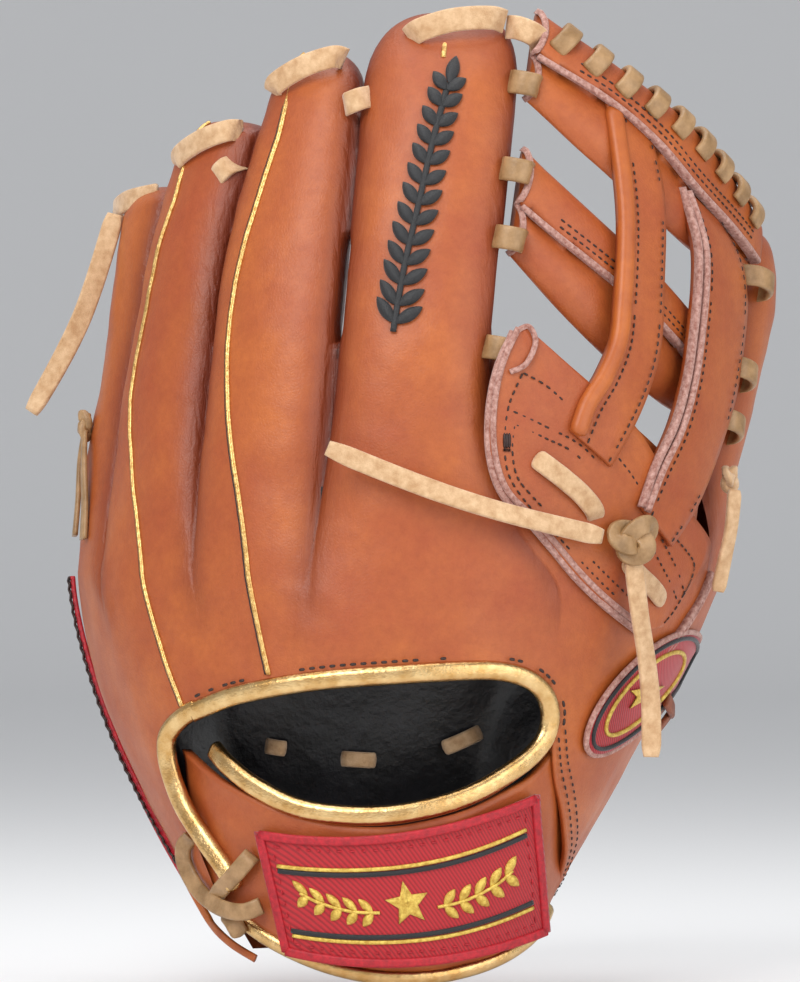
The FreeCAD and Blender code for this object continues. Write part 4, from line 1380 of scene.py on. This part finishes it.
@dataclass
class Web:
    """The crossed web: two bars, two posts, the base panel and the laces that hold them."""

    top: Bar = field(default_factory=lambda: Bar(
        "web_top_bar", ((11.4, 206.0), (43.0, 173.5), (76.0, 149.0)),
        Line((12, 27.5), (26, 31.5), (50, 33), (76, 20)),
        Line((12, 0.5), (26, 3.4), (38, 2.6), (50, -1.0), (62, -2.0), (76, -4.0))))
    middle: Bar = field(default_factory=lambda: Bar(
        "web_middle_bar", ((12.4, 161.5), (43.0, 125.0), (73.5, 106.0)),
        Line((12, 32), (30, 35), (50, 33), (73, 22)),
        Line((12, -0.5), (32, 3.2), (44, 3.2), (60, 0.0)), upper_face=4.2, lower_face=4.8, depth=9.0))
    inner: Post = field(default_factory=lambda: Post(
        "web_inner_post",
        ((55.2, 92.5, -5.8), (58.0, 101.5, -5.2), (63.5, 109.8, -4.4), (68.2, 120.0, -3.2),
         (70.2, 131.0, -1.8),
         (71.8, 146.0, -0.6), (72.3, 160.0, 0.4), (71.4, 176.0, 2.0), (70.2, 192.5, 4.4)),
        ((66.9, 81.9, -5.8), (73.4, 93.0, -5.0), (78.6, 103.5, -4.0), (82.6, 114.5, -2.8),
         (84.8, 127.0, -1.6),
         (86.0, 142.0, -0.6), (86.8, 156.0, 0.2), (86.6, 169.0, 1.8), (84.6, 183.0, 4.4)), True))
    outer: Post = field(default_factory=lambda: Post(
        "web_outer_post",
        ((75.4, 70.2, -5.8), (79.8, 83.0, -5.2), (86.0, 95.4, -4.2), (90.6, 109.0, -2.8), (93.6, 122.0, -1.4),
         (95.8, 136.0, -0.4), (96.6, 148.0, 0.4), (95.6, 157.0, 1.8), (94.0, 167.0, 4.2)),
        ((84.9, 58.0, -5.8), (92.1, 68.4, -5.0), (99.0, 82.0, -3.8), (104.5, 97.0, -2.6),
         (108.2, 112.0, -1.2),
         (110.6, 127.0, -0.2), (111.2, 138.0, 0.4), (110.6, 147.0, 1.8), (107.6, 156.5, 4.2)), False))
    panel_left: tuple = ((39.6, 122.4, 0.6), (34.6, 111.0, 0.0), (32.2, 97.5, 0.0), (32.6, 84.6, 0.0),
                         (36.2, 74.0, 0.0),
                         (43.8, 66.0, 0.0), (51.0, 57.5, 0.0), (58.5, 48.6, 0.0), (66.9, 40.5, 0.0),
                         (77.4, 32.2, 0.0))
    panel_right: tuple = ((43.2, 123.3, 0.8), (54.0, 113.5, 0.4), (64.0, 104.6, 0.0), (74.7, 94.0, 0.0),
                          (82.0, 83.0, 0.0),
                          (90.0, 70.5, 0.0), (97.0, 61.0, 0.0), (97.6, 56.0, 0.0), (92.6, 47.0, 0.0),
                          (83.7, 33.8, 0.0))

    def build(self) -> None:
        """Makes the whole web."""
        for part in (self.top, self.middle, self.inner, self.outer):
            part.build()
        self.base()
        self.base_stitches()
        self.loops()
        self.knot()

    def base(self) -> None:
        """The base panel with its stacked cut edge, and the layer behind it."""
        panel = Mould("web_base_panel")
        left, right = spline(self.panel_left, 8), spline(self.panel_right, 8)
        rows = []
        for p, q in zip(left, right):
            rows.append([(mix(p[0], q[0], k / 24), mix(p[1], q[1], k / 24),
                          mix(p[2], q[2], k / 24) + noise.noise(Vector((p[1] * 0.05, k * 0.15, 9.0))) * 0.6)
                         for k in range(25)])
        sheet_between(panel, rows, -3.2, 2.6, on_back)
        panel.build(Finish.LEATHER, Body.THUMB_FOLD, "web_base_back", "web_base_tab")
        behind = Mould("web_base_lining")
        rows = []
        for i in range(31):
            angle = mix(15.0, 66.0, i / 30)
            top = 120.0 - 1.05 * (angle - 16.0) + 0.002 * (angle - 16.0) ** 2
            rows.append([(angle, mix(60.0, top, k / 12), 0.0) for k in range(13)])
        sheet_between(behind, rows, 3.4, 2.6, place)
        behind.build(Finish.LEATHER, Body.THUMB_FOLD, "web_base_front")
        edge = Mould("web_base_cut_edge")
        for shift, width, tall, lift in ((-0.4, 2.0, 2.6, -2.0), (1.3, 1.8, 2.2, -3.1)):
            lay(edge, [(x + shift * 0.8, z + shift * 0.6, d + lift) for x, z, d in self.panel_left],
                rounded(width, tall, 0.7, 4, 2))
        lay(edge, [(39.8, 122.0, -2.4), (43.6, 123.6, -2.6), (45.4, 119.0, -3.4), (42.6, 112.5, -3.6),
                   (38.0, 110.0, -3.4)],
            rounded(1.6, 1.8, 0.6, 3, 2))
        edge.build(Finish.RAW_EDGE, Body.THUMB_FOLD)

    def base_stitches(self) -> None:
        """The stitch lines over the base panel, and the bar tack."""
        lines = (
            ((38.7, 98.4), (48.0, 94.0), (59.4, 87.6), (69.9, 75.3), (80.7, 63.0), (87.0, 52.0),
             (90.0, 43.2)),
            ((39.3, 94.5), (48.0, 90.5), (57.6, 85.2), (68.4, 72.3), (77.6, 61.0), (84.0, 50.0),
             (87.6, 41.7)),
            ((41.7, 109.8), (37.6, 100.0), (36.4, 90.0), (37.4, 80.0), (42.3, 71.8), (50.5, 62.8),
             (58.5, 54.0),
             (67.5, 44.8), (76.8, 36.8)),
            ((39.3, 94.5), (38.6, 87.0), (40.0, 79.0), (44.4, 73.2), (52.5, 64.6), (60.5, 55.6), (69.0, 47.0),
             (77.0, 39.6)),
            ((41.7, 109.8), (48.5, 106.0), (55.0, 100.0)),
            ((69.6, 84.6), (73.2, 80.0), (76.2, 75.3)),
            ((87.3, 60.0), (90.4, 56.4), (92.7, 52.5), (91.6, 47.5), (89.4, 43.2), (86.6, 38.4),
             (83.7, 34.9)),
        )
        thread = Mould("web_base_stitches")
        for line in lines:
            stitches(thread, [(x, z, -3.2) for x, z in line])
        for x in (36.3, 37.0, 37.7):
            stitches(thread, [(x, 92.0, -3.3), (x, 89.2, -3.3), (x, 86.4, -3.3)], length=4.6, gap=0.4,
                     size=1.0)
        thread.build(Finish.THREAD, Body.THUMB_FOLD)

    def loops(self) -> None:
        """The spiral lace along the top bar, and the laces at the index and thumb sides."""
        spiral = Mould("web_top_lace_loops")
        for i in range(9):
            angle = 17.0 + 6.7 * i
            edge = self.top.middle(angle) + self.top.height(angle) / 2.0
            centre = place(angle, edge - 4.8, 6.4)
            along = (place(angle + 3.0, self.top.middle(angle + 3.0), 8.0)
                     - place(angle - 3.0, self.top.middle(angle - 3.0), 8.0)).normalized()
            out = (place(angle, edge, 0.0) - place(angle, edge, 5.0)).normalized()
            up = out.cross(along).normalized()
            if up.z < 0.0:
                up.negate()
            points = []
            for k in range(25):
                t = math.radians(-38.0 + 246.0 * k / 24)
                points.append(centre + out * (5.8 * math.cos(t)) + up * (5.4 * math.sin(t))
                              + along * (2.6 * (k / 24 - 0.5)))
            ribbon(spiral, points, along, rounded(6.2, 2.3, 1.05, 4, 3))
        spiral.build(Finish.LACE, Body.THUMB, "web_top_lace")
        side = Mould("index_web_lace_loops")
        for z, lift in ((197.0, 1.4), (170.5, 0.6), (150.0, 0.4), (117.0, 0.2)):
            angle = INDEX_EDGE(z) + 0.4
            lay(side, [(angle - 2.9, z + 0.9, 7.0), (angle - 2.4, z + 0.7, 2.2 + lift),
                       (angle - 0.6, z + 0.2, lift),
                       (angle + 1.6, z - 0.5, 0.4 + lift), (angle + 2.7, z - 0.9, 3.0 + lift),
                       (angle + 2.9, z - 1.0, 8.0)], rounded(7.2, 2.5, 1.15, 4, 3), place, 6)
        side.build(Finish.LACE, Body.PALM, "index_web_lace")
        thumb = Mould("thumb_web_lace_loops")
        for z in (138.0, 110.0, 94.0):
            angle = THUMB_INNER(z)
            lay(thumb, [(angle - 5.0, z + 3.0, 5.0), (angle - 3.6, z + 2.4, -0.6),
                        (angle - 0.4, z + 0.4, -2.4),
                        (angle + 3.0, z - 1.8, 0.6), (angle + 4.2, z - 2.8, 6.0)],
                        rounded(6.6, 2.3, 1.0, 4, 3), place, 6)
        thumb.build(Finish.LACE, Body.THUMB, "thumb_web_lace")

    def knot(self) -> None:
        """The big knot on the base panel and the lace on both sides of it."""
        oval = Mould("web_base_lace_ovals")
        lay(oval, [(45.0, 84.8, -3.6), (47.5, 82.8, -4.6), (53.0, 78.4, -5.0), (58.6, 73.4, -4.8),
                   (62.4, 68.6, -4.2),
                   (63.6, 65.2, -1.2)], rounded(6.2, 2.2, 0.9, 4, 3), ends=0.14)
        lay(oval, [(71.5, 54.5, -3.6), (75.0, 50.0, -4.6), (79.5, 45.5, -4.8), (83.4, 41.0, -3.8)],
            rounded(6.0, 2.0, 0.9, 4, 3), ends=0.2)
        oval.build(Finish.LACE_NAP, Body.THUMB, "web_base_lace")
        knot = Mould("web_knot_lace")
        tie(knot, place(40.3, 60.4, -9.4), 40.3, 60.4, (19.5, 14.0, 7.0), 12.0)
        knot.build(Finish.LACE, Body.THUMB, "web_knot")


def tie(mould: Mould, centre: Vector, angle: float, z: float, size: tuple[float, float, float],
        turn: float, width: float = 5.6) -> None:
    """A tight lace knot: a flattened trefoil of flat lace.

    Args:
        mould: the piece to add to.
        centre: its middle.
        angle: where it lies on the wall.
        z: its height.
        size: its width, height and depth.
        turn: how far it is turned in its plane.
        width: the lace's width.
    """
    out = (place(angle, z, 0.0) - place(angle, z, 5.0)).normalized()
    side = Vector((0.0, 0.0, 1.0)).cross(out).normalized()
    up = out.cross(side)
    c, s = math.cos(math.radians(turn)), math.sin(math.radians(turn))
    right, top = side * c + up * s, up * c - side * s
    points, across = [], []
    count = 72
    for k in range(count + 1):
        t = 2.0 * math.pi * k / count
        u = (math.sin(t) + 2.0 * math.sin(2.0 * t)) / 3.0 * (size[0] - width) / 2.0
        v = (math.cos(t) - 2.0 * math.cos(2.0 * t)) / 3.0 * (size[1] - 0.6 * width) / 2.0
        w = -math.sin(3.0 * t) * size[2] / 4.0
        points.append(centre + right * u + top * v + out * w)
    for k in range(count + 1):
        along = (points[min(count, k + 1)] - points[max(0, k - 1)]).normalized()
        across.append(along.cross(out))
    ribbon(mould, points, across, lace_section(width, 2.2))


# ---- Laces, knots and trimmings -----------------------------------------------------------

WEB_TAIL_LEFT = ((0.0660, -0.0186, 0.0612), (0.0520, -0.0274, 0.0645), (0.0320, -0.0340, 0.0695),
                 (0.0076, -0.0358, 0.0778), (-0.0155, -0.0348, 0.0875))
WEB_TAIL_DOWN = ((0.0757, -0.01024, 0.0544), (0.0772, -0.0095, 0.0400), (0.0798, -0.0065, 0.0250),
                 (0.0815, -0.0040, 0.0090), (0.0812, -0.0045, -0.0050))
THUMB_TAIL = ((0.1076, 0.0306, 0.0750), (0.1070, 0.0286, 0.0650), (0.1046, 0.0278, 0.0545),
              (0.1025, 0.0292, 0.0442))
PINKY_TAIL = ((-0.0818, 0.0665, 0.1600), (-0.0870, 0.0648, 0.1410), (-0.0955, 0.0642, 0.1190),
              (-0.1076, 0.0662, 0.0990))


@dataclass
class Tails:
    """The four free ends of lace."""

    def build(self) -> None:
        """Makes each tail along its own route."""
        self.tail("web_tail_left", WEB_TAIL_LEFT, Body.THUMB, 0.0060, (0.25, 0.10, 0.95))
        self.tail("web_tail_down", WEB_TAIL_DOWN, Body.THUMB, 0.0060, (0.93, 0.30, 0.1))
        self.tail("thumb_tail", THUMB_TAIL, Body.THUMB, 0.0046, (0.9, 0.4, 0.1))
        self.tail("pinky_tail", PINKY_TAIL, Body.PINKY, 0.0062, (0.9, -0.2, 0.35))

    def tail(self, name: str, route: Sequence[tuple[float, float, float]], body: Body,
             width: float, across: tuple[float, float, float]) -> None:
        """One flat lace along a NURBS line.

        Args:
            name: the CAD node's name, which the piece's name starts with.
            route: the line's control points, in metres.
            body: where it rides.
            width: the lace's width in metres.
            across: the direction of its width where it starts.
        """
        curve = bpy.data.curves.new(name + "_line", "CURVE")
        curve.dimensions = "3D"
        line = curve.splines.new("NURBS")
        line.points.add(len(route) - 1)
        for point, where in zip(line.points, route):
            point.co = (*where, 1.0)
        line.order_u = 3
        line.use_endpoint_u = True
        line.resolution_u = 24
        holder = bpy.data.objects.new(name + "_line", curve)
        followed = bpy.data.meshes.new_from_object(holder)
        path = [Vector(v.co) for v in followed.vertices]
        bpy.data.objects.remove(holder)
        mould = Mould(name + "_lace")
        wide = [(Vector(across).normalized()) for _ in path]
        curl = [w + Vector((0.0, 0.35 * math.sin(4.0 * i / len(path)), 0.0)) for i, w in enumerate(wide)]
        ribbon(mould, [p / MM for p in path], curl, lace_section(width / MM, 1.9), taper=0.25)
        piece = mould.build(Finish.LACE_NAP, body, name)


@dataclass
class Trim:
    """Fingertip laces, side knots, embroidery, the thumb's patch and the stitched edge."""

    def build(self) -> None:
        """Makes each of them."""
        self.tip_laces()
        self.side_knots()
        self.thumb()
        self.sprig()
        self.band()

    def tip_laces(self) -> None:
        """Flat laces through the fingertips, with rounded ends."""
        rows = (
            ("index_tip_lace", Body.PALM, 7.2,
             ([(8.0, 210.8, 4.6), (12.0, 213.2, -0.6), (22.0, 216.2, -2.4), (33.0, 217.0, -0.8),
               (38.0, 216.0, 4.0)],
              [(38.5, 214.5, 6.5), (42.0, 214.0, 2.0), (47.5, 211.5, 2.6), (50.0, 208.0, 7.5)])),
            ("middle_tip_lace", Body.PALM, 6.8,
             ([(-33.5, 194.6, 3.5), (-31.0, 197.6, -1.0), (-22.0, 202.6, -2.6), (-14.0, 205.4, -0.6),
               (-12.0, 205.0, 4.0)],
              [(-12.5, 190.5, 6.0), (-10.0, 191.0, 1.0), (-6.0, 192.5, 1.0), (-3.6, 193.5, 6.0)])),
            ("ring_tip_lace", Body.PINKY, 6.6,
             ([(-63.0, 173.0, 3.5), (-61.0, 176.0, -0.8), (-53.5, 180.6, -2.2), (-46.5, 183.6, -0.2),
               (-44.8, 183.8, 4.5)],
              [(-52.5, 168.5, 7.5), (-51.0, 170.0, 3.0), (-48.0, 173.0, 3.0), (-46.5, 174.5, 8.0)])),
            ("pinky_tip_lace", Body.PINKY, 6.4,
             ([(-74.0, 166.0, 5.5), (-77.0, 164.0, -1.0), (-80.0, 160.5, -2.5), (-81.5, 157.5, 3.0)],)),
        )
        for name, body, width, runs in rows:
            mould = Mould(name + "_strip")
            for run in runs:
                lay(mould, run, lace_section(width, 2.0))
            mould.build(Finish.LACE_NAP, body, name)

    def side_knots(self) -> None:
        """The small knot on the pinky's side with its two short ends, and the thumb's knot."""
        mould = Mould("pinky_side_knot_lace")
        tie(mould, place(-84.0, 95.0, -3.0), -84.0, 95.0, (9.0, 9.5, 4.0), 20.0, 3.6)
        for stations in ([(-87.0, 93.0, -2.6), (-87.5, 84.0, -2.8), (-86.0, 72.0, -1.8), (-84.5, 61.0, -1.4)],
                         [(-83.0, 92.5, -2.8), (-79.5, 82.0, -2.4), (-77.5, 71.0, -1.2),
                          (-76.0, 60.0, -0.6)]):
            lay(mould, stations, lace_section(4.2, 1.6), place)
        mould.build(Finish.LACE, Body.PINKY, "pinky_side_knot")
        knot = Mould("thumb_knot_lace")
        tie(knot, place(70.0, 78.6, -3.4), 70.0, 78.6, (8.4, 8.0, 4.0), 0.0, 3.8)
        knot.build(Finish.LACE_NAP, Body.THUMB, "thumb_knot")

    def thumb(self) -> None:
        """The oval patch with its rings and star, the cut edge and the brown tab."""
        middle, turn = (78.5, 13.5), -22.0

        def at(u: float, z: float, depth: float) -> Vector:
            """A point over the patch, whose sideways measure is taken at the height of its middle."""
            return place(angle_at(u, 13.5), z, depth)

        patch = Mould("thumb_patch_disc")
        sheet_between(patch, disc_rows(middle, (21.0, 38.0), turn), -2.2, 2.0, at)
        patch.build(Finish.TWILL, Body.THUMB, "thumb_patch")
        for name, size, width, finish, lift in (
                ("thumb_patch_rim", (21.4, 38.4), 1.7, Finish.RAW_EDGE, -1.6),
                ("thumb_patch_black_ring", (18.2, 34.6), 1.3, Finish.BLACK_THREAD, -2.4),
                ("thumb_patch_gold_ring", (13.0, 26.0), 1.3, Finish.GOLD_FLOSS, -2.4)):
            ring = Mould(name)
            line = disc_rows(middle, size, turn, rings=1, around=48)[1]
            rings = rings_along([(u, z, lift) for u, z in line], rounded(width, 1.4, 0.5, 3, 2), at)
            ring.loft(rings)
            ring.build(finish, Body.THUMB)
        star = Mould("thumb_patch_star")
        emblem(star, middle, 5.0, -3.2, at, 6.0)
        star.build(Finish.GOLD_FLOSS, Body.THUMB)
        edge = Mould("thumb_cut_edge")
        for shift in (0.0, 1.4):
            lay(edge, [(70.6 + shift, 50 - shift, -0.8), (69.4 + shift, 42, -1.0), (66.6 + shift, 33, -1.0),
                       (62.6 + shift, 24, -0.8)], rounded(1.8, 2.4, 0.7, 3, 2), place)
        edge.build(Finish.RAW_EDGE, Body.THUMB)
        tab = Mould("thumb_tab_leather")
        lay(tab, [(84.6, 11.5, -3.0), (85.0, 7.0, -4.4), (85.2, 1.5, -3.4)], rounded(4.6, 2.0, 0.8, 3, 2))
        tab.build(Finish.BROWN, Body.THUMB, "thumb_tab")

    def sprig(self) -> None:
        """A stem with leaves embroidered along the index finger."""
        mould = Mould("index_embroidery")
        stem = spline([(4.0, 122.0, -0.6), (7.0, 140.0, -0.6), (11.5, 160.0, -0.6), (16.0, 180.0, -0.6),
                       (20.5, 197.0, -0.2)], 10)
        surface = self.index_surface
        mould.loft(rings_along(stem, rounded(1.9, 1.3, 0.6, 3, 2), surface))
        for k, (x, z, _) in enumerate(stem[2:-1:3]):
            for side in (-1.0, 1.0):
                grown = 9.5 - 0.22 * k
                turn = 77.0 - side * 46.0
                c, s = math.cos(math.radians(turn)), math.sin(math.radians(turn))
                leaf(mould, (x + c * grown * 0.52, z + s * grown * 0.52), grown, 3.8, turn, -1.0, surface)
        leaf(mould, (21.8, 201.0), 9.0, 4.0, 76.0, -1.0, surface)
        mould.build(Finish.BLACK_THREAD, Body.PALM)
        mark = Mould("index_tip_mark")
        mark.loft(rings_along(spline([(18.9, 205.0, 0.4), (19.3, 209.0, 0.6), (19.5, 213.0, 1.6)], 6),
                              rounded(1.8, 1.4, 0.6, 3, 2), surface))
        mark.build(Finish.GOLD_THREAD, Body.PALM)

    @staticmethod
    def index_surface(x: float, z: float, depth: float) -> Vector:
        """A point over the index stall's arched back."""
        index = HandLeather().fingers()[3]
        angle = angle_at(x, z)
        s = (angle - index.left(z)) / (index.right(z) - index.left(z))
        s = min(0.97, max(0.03, s))
        roll = index.rolloff(s, z) * index.fullness(s, z)
        waver = ripple(angle, z) * (1.0 - index.rolloff(s, z))
        return place(angle, z, SEAM_SHARE * depth_at(angle, z) * roll + waver + depth)

    def band(self) -> None:
        """The red cross-stitched band and tan strip along the pinky's edge."""
        strip = Mould("pinky_edge_strip")
        line = [(48, -90.5), (28, -89.5), (8, -88.5), (-12, -87.0), (-28, -85.0), (-42, -80.0)]
        lay(strip, [(a, z, -0.6) for z, a in line], rounded(3.4, 1.6, 0.6, 3, 2), place)
        strip.build(Finish.RED_FLOSS, Body.PINKY, "pinky_edge_lacing")
        cross = Mould("pinky_edge_cross_stitches")
        path = spline([(a, z, -1.6) for z, a in line], 12)
        for i in range(0, len(path) - 2, 2):
            (a, z, d), (b, y, _) = path[i], path[i + 2]
            for u, v in ((-1.7, 1.7), (1.7, -1.7)):
                cross.loft(rings_along([(a + u, z, d), ((a + b) / 2, (z + y) / 2, d - 0.5), (b + v, y, d)],
                                       circle(0.9, 6), place))
        cross.build(Finish.THREAD, Body.PINKY)
        tan = Mould("pinky_edge_tan_strip")
        lay(tan, [(-93.0, 20, 1.5), (-92.0, 4, 1.5), (-91.0, -12, 1.5), (-89.0, -22, 1.5)],
            rounded(4.6, 2.0, 0.8, 3, 2), place)
        tan.build(Finish.LACE, Body.PINKY)


@dataclass
class Inside:
    """The felt pads, which show only where the glove is opened."""

    def build(self) -> None:
        """Dresses the CAD pads in felt."""
        for name in ("index_finger_pad", "middle_finger_pad", "ring_finger_pad", "pinky_finger_pad",
                     "palm_felt", "pinky_heel_pad", "thumb_heel_pad"):
            Finish.FELT.dress(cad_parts[name], "wool_felt")


@dataclass
class Studio:
    """A pale seamless backdrop, soft light and the camera."""

    backdrop: str = "#ECECEC"
    floor_gap: float = 0.0005
    floor_reach: float = 3.6
    curve: float = 0.8
    wall_top: float = 4.0

    def build(self) -> None:
        """Makes the floor, the backdrop, the lights and the camera."""
        floor = CAD_BOX[0][2] - self.floor_gap
        self.backdrop_sheet(floor)
        self.light("key_softbox", (-0.55, -1.15, 0.95), 0.9, 15.0)
        self.light("fill_softbox", (0.95, -0.95, 0.45), 1.1, 7.5)
        self.light("top_softbox", (0.0, 0.1, 1.25), 1.0, 9.0)
        world = bpy.data.worlds.new("studio")
        bpy.context.scene.world = world
        world.use_nodes = True
        world.node_tree.nodes["Background"].inputs["Color"].default_value = linear("#F2F4F8")
        world.node_tree.nodes["Background"].inputs["Strength"].default_value = 0.55
        camera = bpy.data.cameras.new("camera")
        camera.lens = 300.0
        holder = bpy.data.objects.new("camera", camera)
        bpy.context.scene.collection.objects.link(holder)
        holder.location = (0.006, -2.455, 0.0747)
        holder.rotation_euler = (math.radians(90.0), 0.0, 0.0)
        bpy.context.scene.camera = holder
        bpy.context.scene.view_settings.view_transform = "Standard"

    def backdrop_sheet(self, floor: float) -> None:
        """A floor that curves up into a wall behind."""
        mesh = bpy.data.meshes.new("backdrop")
        rows = [(-3.0, floor), (self.floor_reach, floor)]
        rows += [(self.floor_reach + self.curve * math.sin(a), floor + self.curve * (1.0 - math.cos(a)))
                 for a in (math.radians(9.0 * k) for k in range(1, 11))]
        rows.append((self.floor_reach + self.curve, floor + self.wall_top))
        points = [(x, y, z) for y, z in rows for x in (-4.0, 4.0)]
        mesh.from_pydata(points, [], [(2 * i, 2 * i + 1, 2 * i + 3, 2 * i + 2) for i in range(len(rows) - 1)])
        mesh.shade_smooth()
        material, _, shader, _ = start_material("painted_board_matt")
        shader.inputs["Base Color"].default_value = linear(self.backdrop)
        shader.inputs["Roughness"].default_value = 0.9
        mesh.materials.append(material)
        sheet = bpy.data.objects.new("backdrop", mesh)
        bpy.context.scene.collection.objects.link(sheet)

    def light(self, name: str, where: tuple[float, float, float], size: float, power: float) -> None:
        """A square softbox aimed at the glove."""
        lamp = bpy.data.lights.new(name, "AREA")
        lamp.size = size
        lamp.energy = power
        holder = bpy.data.objects.new(name, lamp)
        bpy.context.scene.collection.objects.link(holder)
        holder.location = where
        aim = Vector((0.0, 0.0, 0.07)) - Vector(where)
        holder.rotation_euler = aim.to_track_quat("-Z", "Y").to_euler()


def main() -> None:
    """Builds the glove and its studio."""
    logging.basicConfig(level=logging.INFO, format="%(name)s: %(message)s")
    for assembly in (HandLeather(), Wrist(), Web(), Tails(), Trim(), Inside(), Studio()):
        assembly.build()


if __name__ == "__main__":
    main()
